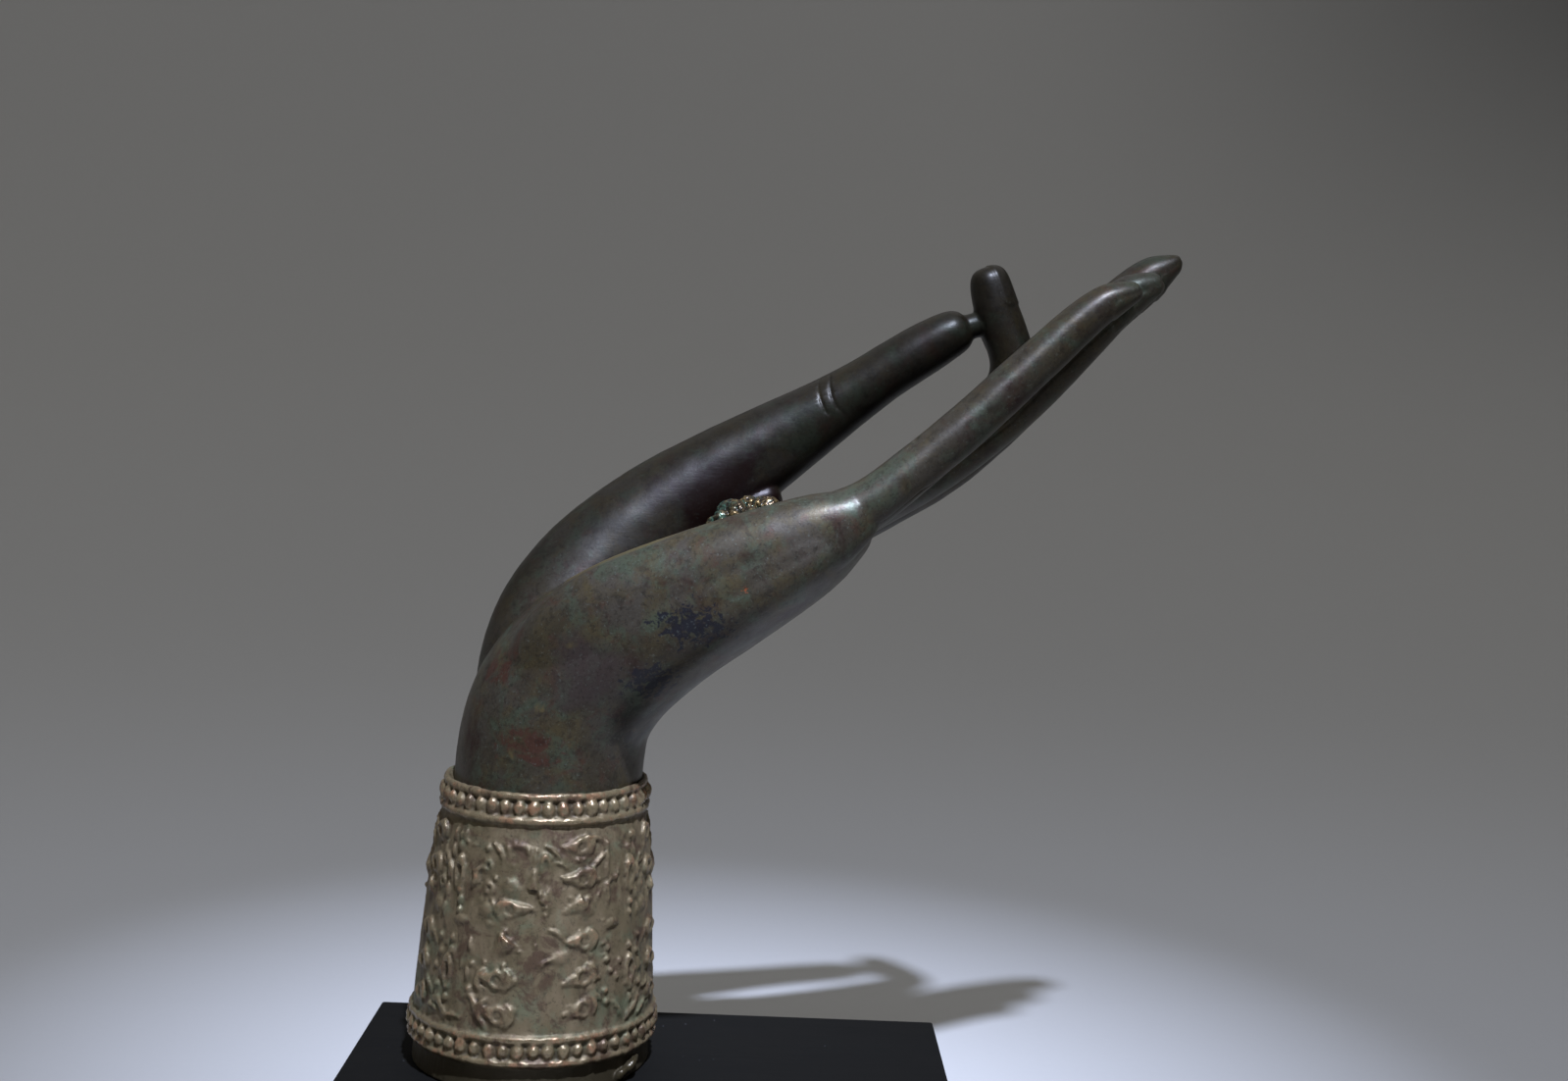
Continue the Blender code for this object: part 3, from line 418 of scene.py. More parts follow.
# Front panel of the cuff, worn and uneven: motif, turn round the cuff, height, lie in degrees, and scale
FRONT_MOTIFS = (
    ("eye", 0.0738, 75.7, 180, 0.95, 0.95, 1),
    ("eye", 0.0759, 65.9, 176, 1, 1, 1.1),
    ("fin", 0.0623, 57.0, 200, 1.2, 1.3, 1.1),
    ("fin", 0.0692, 58.9, 150, 1, 0.9, 1),
    ("eye", 0.0801, 46.8, 178, 1, 1, 1),
    ("eye", 0.0801, 35.8, 195, 1.05, 1, 1.1),
    ("eye", 0.0816, 25.9, 190, 1.05, 1, 0.8),
    ("bead", 0.0781, 71.8, 0, 0.8, 0.7, 0.9),
    ("bead", 0.0688, 71.6, 0, 0.8, 0.7, 0.9),
    ("bead", 0.0837, 59.6, 0, 1.2, 1, 1),
    ("bar", -0.0182, 75.8, 90, 1, 1.2, 1),
    ("bar", -0.0322, 74.5, 15, 0.9, 0.8, 0.9),
    ("bar", -0.0026, 74.3, 0, 1, 0.7, 1),
    ("bar", 0.0069, 71.7, -3, 0.5, 1.5, 0.8),
    ("drop", 0.0071, 66.0, 0, 1.3, 1.2, 1.3),
    ("oval", 0.0229, 69.3, 5, 0.75, 1.15, 1),
    ("drop", 0.0145, 63.0, 20, 0.7, 0.8, 1),
    ("drop", 0.0249, 61.0, -25, 1, 0.9, 1.1),
    ("bead", 0.0247, 55.3, 0, 0.9, 0.9, 1),
    ("fin", 0.0288, 56.6, -60, 0.5, 0.5, 0.7),
    ("lump", -0.0239, 62.9, 0, 1.4, 1.6, 1),
    ("eye", -0.0230, 56.7, 5, 1, 0.95, 1),
    ("fin", -0.0334, 43.8, 235, 1.5, 1.5, 1.3),
    ("bead", -0.0281, 50.1, 0, 0.8, 0.9, 0.9),
    ("bar", -0.0209, 46.5, -35, 0.6, 0.9, 0.8),
    ("eye", -0.0333, 35.0, 172, 1.05, 1, 1.15),
    ("bead", -0.0260, 39.6, 0, 0.9, 0.8, 1),
    ("bead", -0.0086, 35.0, 0, 0.8, 1, 0.9),
    ("eye", -0.0283, 24.3, 165, 1.1, 1.05, 1.1),
    ("hook", -0.0545, 34.4, 180, 1.1, 1.4, 1),
    ("hook", -0.0493, 25.0, 180, 1.1, 1.4, 1),
    ("bead", -0.1158, 76.9, 0, 1, 1.3, 1.1),
    ("bead", -0.1128, 73.4, 0, 1.4, 1.7, 1.2),
    ("bead", -0.1105, 69.8, 0, 1.2, 1.5, 1.1),
    ("long", -0.1091, 65.3, 0, 0.85, 1.25, 1.1),
    ("bead", -0.1036, 60.5, 0, 1.1, 1.5, 1.1),
    ("bead", -0.1010, 57.4, 0, 1.3, 1.6, 1.2),
    ("bead", -0.1004, 54.5, 0, 1.1, 1.2, 1.1),
    ("bead", -0.1071, 45.4, 0, 1.1, 1.5, 1.1),
    ("bead", -0.1060, 41.8, 0, 1.3, 1.6, 1.2),
    ("bead", -0.1071, 39.0, 0, 0.9, 1.1, 1),
    ("long", -0.1109, 35.1, 0, 0.85, 1.25, 1.1),
    ("bead", -0.1095, 30.4, 0, 1, 1.3, 1.1),
    ("bead", -0.1099, 26.9, 0, 1.2, 1.6, 1.1),
    ("bar", -0.1069, 76.8, 0, 1, 1.1, 1.1),
    ("bar", -0.1480, 69.9, 3, 0.8, 1.9, 0.8),
    ("bar", -0.1291, 58.3, 0, 0.9, 1.7, 0.9),
    ("bead", -0.0630, 74.4, 0, 1, 1, 1),
    ("hook", -0.0826, 64.9, 0, 1, 1, 1.1),
    ("hook", -0.0729, 66.2, 180, 1, 1, 1.1),
    ("loop", -0.0614, 69.2, 0, 1, 1.15, 1),
    ("loop", -0.0559, 62.4, 0, 1, 1.15, 1),
    ("lump", -0.0564, 55.6, 0, 1.2, 1.3, 1),
    ("bar", -0.0758, 44.5, 4, 1, 1.2, 1.1),
    ("bead", -0.0713, 39.0, 0, 1.2, 1.1, 1.1),
    ("bar", -0.0773, 35.6, 0, 1, 1.2, 1.1),
    ("bead", -0.0727, 31.2, 0, 1.3, 1.2, 1.1),
    ("bar", -0.1000, 40.7, 0, 0.8, 1.1, 0.9),
    ("sprig", -0.0638, 25.9, -60, 1.7, 1.4, 1.1),
    ("sprig", -0.0528, 21.8, -35, 1.3, 1.2, 1),
    ("sprig", -0.1137, 22.3, -40, 1.5, 1.2, 0.9),
    ("sprig", -0.0970, 21.5, 20, 1.2, 1.2, 0.9),
    ("sprig", -0.1353, 22.4, 10, 1.1, 1.2, 0.9),
    ("bead", -0.0474, 65.5, 0, 0.8, 0.8, 0.9),
    ("bar", -0.0469, 57.7, 30, 0.8, 0.8, 0.9),
    ("sprig", -0.0446, 73.0, -50, 1.4, 1, 0.8),
    ("sprig", 0.0374, 73.1, -40, 1.6, 0.8, 0.8),
    ("sprig", 0.0458, 70.0, -20, 0.9, 0.8, 0.8),
    ("sprig", 0.1004, 70.4, 50, 1.5, 0.8, 0.8),
    ("sprig", 0.0994, 77.2, -15, 1.2, 1, 0.8),
    ("bar", 0.1162, 74.8, 0, 1, 1.1, 1.1),
    ("bar", 0.1163, 71.6, 0, 1, 1, 1.1),
    ("bar", 0.1146, 67.5, 0, 1.1, 1.3, 1.1),
    ("bead", 0.1305, 65.1, 0, 1, 1.2, 1.1),
    ("bead", 0.1211, 64.7, 0, 0.9, 1, 1),
    ("bar", 0.1152, 62.2, 0, 1.1, 1.1, 1.1),
    ("bar", 0.1159, 58.7, 0, 1.1, 1.2, 1.1),
    ("bead", 0.1005, 65.0, 0, 1, 1, 1),
    ("bar", 0.0999, 59.9, -25, 0.7, 0.9, 0.9),
    ("bead", 0.1666, 77.0, 0, 1, 1.4, 1.1),
    ("bead", 0.1570, 73.4, 0, 1.3, 1.7, 1.2),
    ("bead", 0.1560, 70.4, 0, 1.1, 1.3, 1.1),
    ("long", 0.1592, 65.3, 0, 0.9, 1.25, 1.2),
    ("bead", 0.1608, 60.4, 0, 1.1, 1.5, 1.1),
    ("bead", 0.1585, 56.3, 0, 1.3, 1.6, 1.2),
    ("bead", 0.1570, 53.2, 0, 1, 1.1, 1.1),
    ("bead", 0.1571, 42.7, 0, 1.3, 1.4, 1.2),
    ("bead", 0.1562, 39.7, 0, 1.1, 1.2, 1.1),
    ("long", 0.1564, 34.7, 0, 0.9, 1.25, 1.2),
    ("bead", 0.1575, 29.7, 0, 1.2, 1.4, 1.1),
    ("bead", 0.1570, 26.2, 0, 1.2, 1.5, 1.1),
    ("loop", 0.1842, 64.2, 0, 0.8, 1, 1),
    ("bar", 0.1877, 60.3, 0, 1, 1.2, 1),
    ("bar", 0.2060, 73.1, 0, 0.8, 1.8, 0.9),
    ("bar", 0.2096, 54.3, 0, 0.8, 1.8, 0.9),
    ("bead", 0.1158, 43.9, 0, 1.2, 1.2, 1.1),
    ("bead", 0.1154, 40.0, 0, 1.4, 1.1, 1.1),
    ("bead", 0.1316, 34.4, 0, 1.2, 1.3, 1.1),
    ("bead", 0.1219, 36.4, 0, 1, 1.1, 1),
    ("bead", 0.1027, 35.0, 0, 1, 1, 1),
    ("bead", 0.1134, 30.5, 0, 1.4, 1.2, 1.1),
    ("bead", 0.1157, 27.0, 0, 1.6, 1.3, 1.1),
    ("bead", 0.1373, 38.8, 0, 1.1, 1, 1),
    ("sprig", 0.1328, 23.7, -45, 1.6, 1.2, 0.9),
    ("sprig", 0.1587, 21.1, 40, 1.4, 1.2, 0.9),
    ("sprig", 0.1858, 21.5, 35, 1.4, 1, 0.9),
    ("sprig", 0.1000, 29.0, -30, 1.2, 1.1, 0.9),
    ("bar", 0.0937, 40.9, 35, 0.7, 1.7, 0.8),
    ("bar", 0.1785, 35.5, 0, 0.8, 1.3, 0.9),
    ("bar", 0.1815, 29.6, 0, 0.8, 1.2, 0.9),
    ("lump", 0.0932, 31.7, 0, 1, 1.1, 0.8),
    ("lump", 0.1226, 50.9, 0, 1.6, 0.8, 0.8),
    ("lump", -0.0965, 51.6, 0, 1.6, 0.8, 0.8),
    ("lump", 0.0839, 55.9, 0, 1.1, 1.1, 0.8),
    ("sprig", 0.0295, 40.4, 45, 1.1, 1, 0.9),
    ("lump", 0.0493, 41.9, 0, 1.6, 1.2, 0.8),
    ("sprig", 0.0436, 48.8, -30, 1.3, 1, 0.9),
    ("bead", 0.0140, 45.8, 0, 0.7, 0.8, 0.7),
)

# The motifs as they repeat on the other three panels, measured from the middle of a panel, each with its
# mirror image where it lies off the middle
PANEL_MOTIFS = (
    ("eye", 0.053, 76.0, 180, 1.0, 1.0, 1.0),
    ("eye", 0.053, 65.4, 180, 1.0, 1.0, 1.1),
    ("fin", 0.040, 57.5, 200, 1.2, 1.3, 1.1),
    ("fin", 0.046, 59.5, 150, 1.0, 0.9, 1.0),
    ("eye", 0.055, 45.6, 180, 1.0, 1.0, 1.0),
    ("eye", 0.055, 35.2, 192, 1.0, 1.0, 1.1),
    ("eye", 0.055, 25.0, 190, 1.0, 1.0, 1.0),
    ("drop", 0.0, 66.0, 0, 1.3, 1.2, 1.3),
    ("bar", 0.0, 73.0, -3, 0.5, 1.8, 0.8),
    ("drop", 0.0, 60.5, 180, 1.0, 0.9, 1.1),
    ("bead", 0.0, 55.5, 0, 0.9, 0.9, 1.0),
    ("oval", 0.018, 69.5, 5, 0.8, 1.2, 1.0),
    ("bead", 0.028, 62.5, 0, 0.9, 0.9, 0.9),
    ("sprig", 0.024, 76.0, -40, 1.6, 0.9, 0.8),
    ("loop", 0.083, 69.0, 0, 1.0, 1.1, 1.0),
    ("loop", 0.083, 61.5, 0, 1.0, 1.1, 1.0),
    ("hook", 0.094, 65.5, 0, 1.0, 1.0, 1.0),
    ("lump", 0.080, 54.0, 0, 1.2, 1.3, 1.0),
    ("bar", 0.098, 76.5, 0, 1.0, 1.1, 1.1),
    ("bar", 0.100, 71.5, 0, 1.0, 1.1, 1.1),
    ("bar", 0.103, 64.5, 0, 1.1, 1.3, 1.1),
    ("bar", 0.100, 58.5, 0, 1.1, 1.1, 1.1),
    ("bar", 0.098, 53.5, 0, 1.1, 1.2, 1.1),
    ("bead", 0.097, 45.0, 0, 1.2, 1.2, 1.1),
    ("bead", 0.099, 40.5, 0, 1.4, 1.1, 1.1),
    ("bead", 0.106, 35.0, 0, 1.2, 1.3, 1.1),
    ("bead", 0.090, 35.5, 0, 1.0, 1.0, 1.0),
    ("bead", 0.098, 30.0, 0, 1.4, 1.2, 1.1),
    ("bead", 0.099, 25.5, 0, 1.6, 1.3, 1.1),
    ("sprig", 0.108, 24.0, -45, 1.6, 1.2, 0.9),
    ("sprig", 0.078, 29.0, -30, 1.2, 1.1, 0.9),
    ("bar", 0.080, 44.0, 35, 0.8, 1.6, 0.8),
)
CHAIN_MOTIFS = (
    ("bead", 0.0, 77.0, 0, 1.0, 1.4, 1.1),
    ("bead", 0.0, 73.0, 0, 1.3, 1.6, 1.2),
    ("long", 0.0, 65.3, 0, 0.9, 1.25, 1.2),
    ("bead", 0.0, 58.7, 0, 1.1, 1.5, 1.1),
    ("bead", 0.0, 53.8, 0, 1.3, 1.6, 1.2),
    ("bead", 0.0, 46.0, 0, 1.3, 1.4, 1.2),
    ("bead", 0.0, 41.5, 0, 1.2, 1.3, 1.1),
    ("long", 0.0, 34.8, 0, 0.9, 1.25, 1.2),
    ("bead", 0.0, 28.0, 0, 1.2, 1.4, 1.1),
    ("bead", 0.0, 23.5, 0, 1.2, 1.5, 1.1),
)
FOOT_LIP = (
    ("sprig", 0.150, 2.4, 38, 1.3, 2.0, 1.9),
    ("sprig", 0.166, 4.2, 50, 1.4, 2.0, 2.2),
    ("lump", 0.158, 3.0, 45, 1.7, 1.0, 1.2),
)


def linear(hex_colour):
    """The linear red, green and blue of an sRGB hex colour."""
    levels = [int(hex_colour[k:k + 2], 16) / 255.0 for k in (1, 3, 5)]
    return tuple(v / 12.92 if v <= 0.04045 else ((v + 0.055) / 1.055) ** 2.4 for v in levels)


def colour_property(name, description, hex_colour):
    colour = linear(hex_colour)
    return bpy.props.FloatVectorProperty(
        name=name, description=description, subtype="COLOR", size=3, min=0.0, max=1.0, default=colour
    )


def length_property(name, description, default):
    return bpy.props.FloatProperty(
        name=name, description=description, default=default, min=0.0, precision=5, unit="LENGTH",
        subtype="DISTANCE",
    )


def share_property(description, default):
    return bpy.props.FloatProperty(
        name="Share kept", description=description, default=default, subtype="FACTOR", min=0.05, max=1.0
    )


def only(obj):
    """Makes this object the only one selected and the active one."""
    bpy.ops.object.select_all(action="DESELECT")
    obj.select_set(True)
    bpy.context.view_layer.objects.active = obj


def apply_modifier(obj, kind, **settings):
    only(obj)
    modifier = obj.modifiers.new(kind.title(), kind)
    for name, value in settings.items():
        setattr(modifier, name, value)
    bpy.ops.object.modifier_apply(modifier=modifier.name)


def joined(name, pieces):
    """The pieces as one object."""
    bpy.ops.object.select_all(action="DESELECT")
    for piece in pieces:
        piece.select_set(True)
    bpy.context.view_layer.objects.active = pieces[0]
    bpy.ops.object.join()
    pieces[0].name = name
    pieces[0].data.name = name
    return pieces[0]


def primitive(name, operator, **settings):
    """The object that an operator adds, under this name."""
    bpy.ops.object.select_all(action="DESELECT")
    operator(**settings)
    bpy.context.object.name = name
    return bpy.context.object


def object_of(bm, name):
    """A new object in the scene with this mesh, which it frees."""
    mesh = bpy.data.meshes.new(name)
    bm.to_mesh(mesh)
    bm.free()
    obj = bpy.data.objects.new(name, mesh)
    bpy.context.scene.collection.objects.link(obj)
    return obj


def tube(name, sides, rows):
    """A straight capped tube of radius 1, extruded ring by ring, its rings one apart from 0 upwards."""
    obj = primitive(name, bpy.ops.mesh.primitive_circle_add, vertices=sides, radius=1.0, fill_type="NGON")
    bpy.ops.object.mode_set(mode="EDIT")
    for _ in range(rows - 1):
        bpy.ops.mesh.extrude_region_move(TRANSFORM_OT_translate={"value": (0.0, 0.0, 1.0)})
    bpy.ops.object.mode_set(mode="OBJECT")
    return obj


def lay_rings(obj, place):
    """Puts each point of a tube where place(row, cosine, sine) says, in metres, with the faces outwards."""
    for vert in obj.data.vertices:
        vert.co = place(round(vert.co.z), vert.co.x, vert.co.y)
    only(obj)
    bpy.ops.object.mode_set(mode="EDIT")
    bpy.ops.mesh.select_all(action="SELECT")
    bpy.ops.mesh.normals_make_consistent(inside=False)
    bpy.ops.object.mode_set(mode="OBJECT")
    return obj


def stations_with_ends(stations):
    """Middle, half width, half thickness, side and palm direction of each ring, with two more at each end."""
    middles = [Vector(s[:3]) for s in stations]
    last = len(middles) - 1
    rows = []
    for k, station in enumerate(stations):
        tangent = (middles[min(k + 1, last)] - middles[max(k - 1, 0)]).normalized()
        side = (Vector((0.0, 1.0, 0.0)) - tangent * tangent.y).normalized()
        rows.append((middles[k], station[3], station[4], side, tangent.cross(side), tangent))
    for sign in (-1, 1):
        middle, wide, thick, side, palm, tangent = rows[0] if sign < 0 else rows[-1]
        for reach, shrink in ROUNDING:
            there = middle + tangent * sign * reach * min(wide, thick)
            row = (there, wide * shrink, thick * shrink, side, palm, tangent)
            if sign < 0:
                rows.insert(0, row)
            else:
                rows.append(row)
    return rows


def limb(name, stations, levels=LIMB_LEVELS):
    """An oval limb through its stations, rounded at both ends and subdivided."""
    rows = stations_with_ends(stations)
    # Subdivision draws each ring in by the inverse of this factor
    outside = 6.0 / (4.0 + 2.0 * math.cos(2.0 * math.pi / LIMB_SIDES))

    def place(row, across, up):
        middle, wide, thick, side, palm, _ = rows[row]
        return FOOT + (middle + (side * wide * across + palm * thick * up) * outside) * MM

    obj = lay_rings(tube(name, LIMB_SIDES, len(rows)), place)
    apply_modifier(obj, "SUBSURF", levels=levels, render_levels=levels)
    return obj


def nail_depth(points, finger, reach, half_turn, turn):
    """How far inside a nail's outline each point lies, in millimetres, up to the rounding of its corners."""
    rows = stations_with_ends(finger)[len(ROUNDING):]
    path = np.array([row[0] for row in rows])
    lengths = np.linalg.norm(np.diff(path, axis=0), axis=1)
    to_tip = lengths[::-1].cumsum()[::-1]
    near = np.full(len(points), NAIL_REACH)
    back = np.full(len(points), FAR_AWAY)
    angle = np.zeros(len(points))
    for k, length in enumerate(lengths):
        step = path[k + 1] - path[k]
        share = np.clip(((points - path[k]) @ step) / length ** 2, 0.0, 1.0)
        off = points - path[k] - share[:, None] * step
        far = np.linalg.norm(off, axis=1)
        closer = far < near
        side, palm = np.array(rows[k][3]), np.array(rows[k][4])
        near[closer] = far[closer]
        back[closer] = to_tip[k] - share[closer] * length
        angle[closer] = np.arctan2(off[closer] @ side, -(off[closer] @ palm))
    away = np.abs((angle - math.radians(turn) + math.pi) % (2.0 * math.pi) - math.pi)
    across = np.maximum(NAIL_CORNER - (math.radians(half_turn) - away) * near, 0.0)
    along = np.maximum(NAIL_CORNER - (reach - back), 0.0)
    return NAIL_CORNER - np.hypot(across, along)


def boolean_with(obj, other, operation):
    """Applies an exact Boolean and removes its tool."""
    apply_modifier(obj, "BOOLEAN", operation=operation, solver="EXACT", object=other)
    bpy.data.objects.remove(other, do_unlink=True)


def block(name, size, middle):
    """A box of this size about a point of the casting's tables."""
    obj = primitive(name, bpy.ops.mesh.primitive_cube_add, size=MM, location=(0.0, 0.0, 0.0))
    obj.data.transform(Matrix.Translation(FOOT + Vector(middle) * MM) @ Matrix.Diagonal((*size, 1.0)))
    return obj


def rod(name, radius, low, high):
    """An upright cylinder over the middle of the foot."""
    obj = primitive(
        name, bpy.ops.mesh.primitive_cylinder_add, vertices=64, radius=radius * MM, depth=(high - low) * MM
    )
    obj.data.transform(Matrix.Translation(FOOT + Vector((0.0, 0.0, (low + high) / 2.0)) * MM))
    return obj


def hollow(name):
    """The inside of the casting, as a tool that reaches from below its foot into the palm."""
    stations = HOLLOW_IN_CUFF + tuple(
        (x, y, z, side - WALL, thick - WALL) for x, y, z, side, thick in FOREARM_AND_PALM[OPEN_STATIONS]
    )
    return limb(name, stations, levels=2)


def points_of(obj):
    """The object's points and its normals, as millimetres in the casting's tables."""
    count = len(obj.data.vertices)
    points = np.empty(count * 3, np.float32)
    normals = np.empty(count * 3, np.float32)
    obj.data.vertices.foreach_get("co", points)
    obj.data.vertices.foreach_get("normal", normals)
    return (points.reshape(-1, 3) - np.array(FOOT)) / MM, normals.reshape(-1, 3)


def set_points(obj, points):
    """Puts the object's points where the casting's tables say, in millimetres."""
    obj.data.vertices.foreach_set("co", (points * MM + np.array(FOOT)).astype(np.float32).ravel())
    obj.data.update()


def held_inside(points):
    """Eases points that come near the outer faces of the casting's box back inside it."""
    limit = (np.array(CASTING_BOX[1]) - np.array(FOOT)) / MM - EASE_REACH
    over = points - limit
    return np.where(over > 0.0, limit + EASE_REACH * np.tanh(over / EASE_REACH), points)


def line_share(points, line, half_width):
    """1 on a line falling to 0 at half its width, and fading out at both of its ends."""
    path = np.array(line)
    lengths = np.linalg.norm(np.diff(path, axis=0), axis=1)
    starts = np.concatenate(([0.0], lengths.cumsum())) / lengths.sum()
    best = np.full(len(points), FAR_AWAY)
    where = np.zeros(len(points))
    for k, length in enumerate(lengths):
        step = path[k + 1] - path[k]
        share = np.clip(((points - path[k]) @ step) / length ** 2, 0.0, 1.0)
        far = np.linalg.norm(points - path[k] - share[:, None] * step, axis=1)
        closer = far < best
        best[closer] = far[closer]
        where[closer] = starts[k] + share[closer] * (starts[k + 1] - starts[k])
    fade = np.clip(LINE_FADE * np.minimum(where, 1.0 - where), 0.0, 1.0)
    return np.clip(1.0 - best / half_width, 0.0, 1.0) * fade


def roughen(obj, name, size, height, group=""):
    """Moves the skin in and out by a noise of this size and height in millimetres."""
    texture = bpy.data.textures.new(name, "CLOUDS")
    texture.noise_scale = size * MM
    apply_modifier(
        obj, "DISPLACE", texture=texture, texture_coords="LOCAL", strength=height * MM, mid_level=0.5,
        vertex_group=group,
    )


def height_of_relief(cuff):
    """How far each point of the cuff stands out of its plain oval, in millimetres."""
    points, _ = points_of(cuff)
    out = np.hypot(points[:, 0] - CUFF_LEAN * points[:, 2], points[:, 1] / CUFF_DEPTH_RATIO)
    return out - cuff_half_width(points[:, 2])


def smooth_shaded(obj, angle=60.0):
    only(obj)
    bpy.ops.object.shade_smooth_by_angle(angle=math.radians(angle))


def weld_and_check(obj):
    """Merges doubled points, points the faces outwards, and stops on an open edge."""
    only(obj)
    bpy.ops.object.mode_set(mode="EDIT")
    bpy.ops.mesh.select_all(action="SELECT")
    bpy.ops.mesh.remove_doubles(threshold=0.000001)
    bpy.ops.mesh.normals_make_consistent(inside=False)
    bpy.ops.mesh.select_all(action="DESELECT")
    bpy.ops.object.mode_set(mode="OBJECT")
    bm = bmesh.new()
    bm.from_mesh(obj.data)
    open_edges = sum(1 for edge in bm.edges if edge.is_boundary)
    bm.free()
    if open_edges:
        raise RuntimeError(f"{obj.name} has {open_edges} open edges")


def hand_on(piece, material):
    """Declares a finished piece of the casting, and gives it its material."""
    piece.data.materials.clear()
    piece.data.materials.append(material)
    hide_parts("hand_casting")
    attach(piece, "root")


def cuff_half_width(height):
    """Half the cuff's width across X at one height, or at each of many."""
    heights, halves = zip(*CUFF_PROFILE)
    return np.interp(height, heights, halves)


def cuff_place(turn, height, spin=0.0, scale=(1.0, 1.0, 1.0)):
    """Matrix on the cuff's face: X along it, Y up it, Z out of it. A turn of 0 faces the viewer."""
    angle = 2.0 * math.pi * turn
    half = cuff_half_width(height)
    around = Vector((math.cos(angle), math.sin(angle) * CUFF_DEPTH_RATIO, 0.0)).normalized()
    outward = Vector((math.sin(angle) * CUFF_DEPTH_RATIO, -math.cos(angle), 0.0)).normalized()
    middle = Vector((half * math.sin(angle), -half * math.cos(angle) * CUFF_DEPTH_RATIO, height))
    facing = Matrix((around, Vector((0.0, 0.0, 1.0)), outward)).transposed().to_4x4()
    laid = Matrix.Translation(middle) @ facing @ Matrix.Rotation(spin, 4, "Z")
    return laid @ Matrix.Diagonal((*scale, 1.0))


def cord(height):
    """The half round of a cord standing out of the cuff, from its top down, as (radius, height)."""
    half = cuff_half_width(height)
    steps = [math.pi * (0.5 - k / CORD_TURNS) for k in range(CORD_TURNS + 1)]
    return [(half + CORD_RADIUS * math.cos(bend), height + CORD_RADIUS * math.sin(bend)) for bend in steps]


def sleeve_profile():
    """The turned outline of cuff and foot, as (radius, height) from the foot up."""
    floor = CUFF_TOP - RIM_DEPTH
    profile = [(0.5, floor), (cuff_half_width(CUFF_TOP) - RIM_DEPTH, floor)]
    profile += cord(CUFF_TOP - CORD_RADIUS)
    profile += cord(CUFF_TOP - BAND_HEIGHT + CORD_RADIUS)
    profile += [(half, height) for height, half in reversed(CUFF_PROFILE[BETWEEN_RIMS])]
    profile += cord(CUFF_BOTTOM + BAND_HEIGHT - CORD_RADIUS)
    profile += cord(CUFF_BOTTOM + CORD_RADIUS)
    profile += [(FOOT_HALF_WIDTH - FOOT_FLARE, CUFF_BOTTOM), (FOOT_HALF_WIDTH, 0.0), (0.5, 0.0)]
    return profile[::-1]


def template(name):
    """Takes the active object away as a mesh that copies are made from."""
    obj = bpy.context.object
    if obj.type == "CURVE":
        only(obj)
        bpy.ops.object.convert(target="MESH")
        obj = bpy.context.object
    bpy.ops.object.select_all(action="DESELECT")
    obj.name = name
    mesh = obj.data.copy()
    mesh.transform(obj.matrix_world)
    bpy.data.objects.remove(obj, do_unlink=True)
    return mesh


def bent_wire(name, points, thickness):
    """A round wire along a smooth path of points (x, y, height, share of the thickness)."""
    obj = primitive(name, bpy.ops.curve.primitive_bezier_curve_add, location=(0.0, 0.0, 0.0))
    obj.data.splines.clear()
    spline = obj.data.splines.new("BEZIER")
    spline.bezier_points.add(len(points) - 1)
    for point, (x, y, height, share) in zip(spline.bezier_points, points):
        point.co = (x, y, height)
        point.radius = share
        point.handle_left_type = point.handle_right_type = "AUTO"
    obj.data.dimensions = "3D"
    obj.data.resolution_u = 6
    obj.data.bevel_depth = thickness
    obj.data.bevel_resolution = 2
    obj.data.use_fill_caps = True
    return template(name)


def relief_templates():
    """The motifs of the cuff, each modelled once, lying flat in millimetres."""
    made = {}
    primitive("bead", bpy.ops.mesh.primitive_uv_sphere_add, segments=14, ring_count=9, radius=1.0)
    made["bead"] = template("bead")
    for name, radius, wire, stretch in RING_MOTIFS:
        ring = primitive(
            name, bpy.ops.mesh.primitive_torus_add, major_segments=24, minor_segments=8, major_radius=radius,
            minor_radius=wire,
        )
        ring.data.transform(Matrix.Diagonal((1.0, stretch, RING_HEIGHT, 1.0)))
        made[name] = template(name)
    fin = primitive("fin", bpy.ops.mesh.primitive_cone_add, vertices=12, radius1=2.3, radius2=0.35, depth=6.4)
    fin.data.transform(Matrix.Diagonal((0.6, 1.0, 1.0, 1.0)))
    fin.data.transform(Matrix.Rotation(math.radians(90.0), 4, "Y"))
    made["fin"] = template("fin")
    for name, size in FLAT_MOTIFS.items():
        made[name] = made["bead"].copy()
        made[name].transform(Matrix.Diagonal((*size, 1.0)))
    drop = made["fin"].copy()
    drop.transform(Matrix.Rotation(math.radians(90.0), 4, "Z") @ Matrix.Diagonal((0.75, 0.75, 1.0, 1.0)))
    made["drop"] = drop
    for name, (path, thickness) in WIRE_MOTIFS.items():
        made[name] = bent_wire(name, path, thickness)
    return made


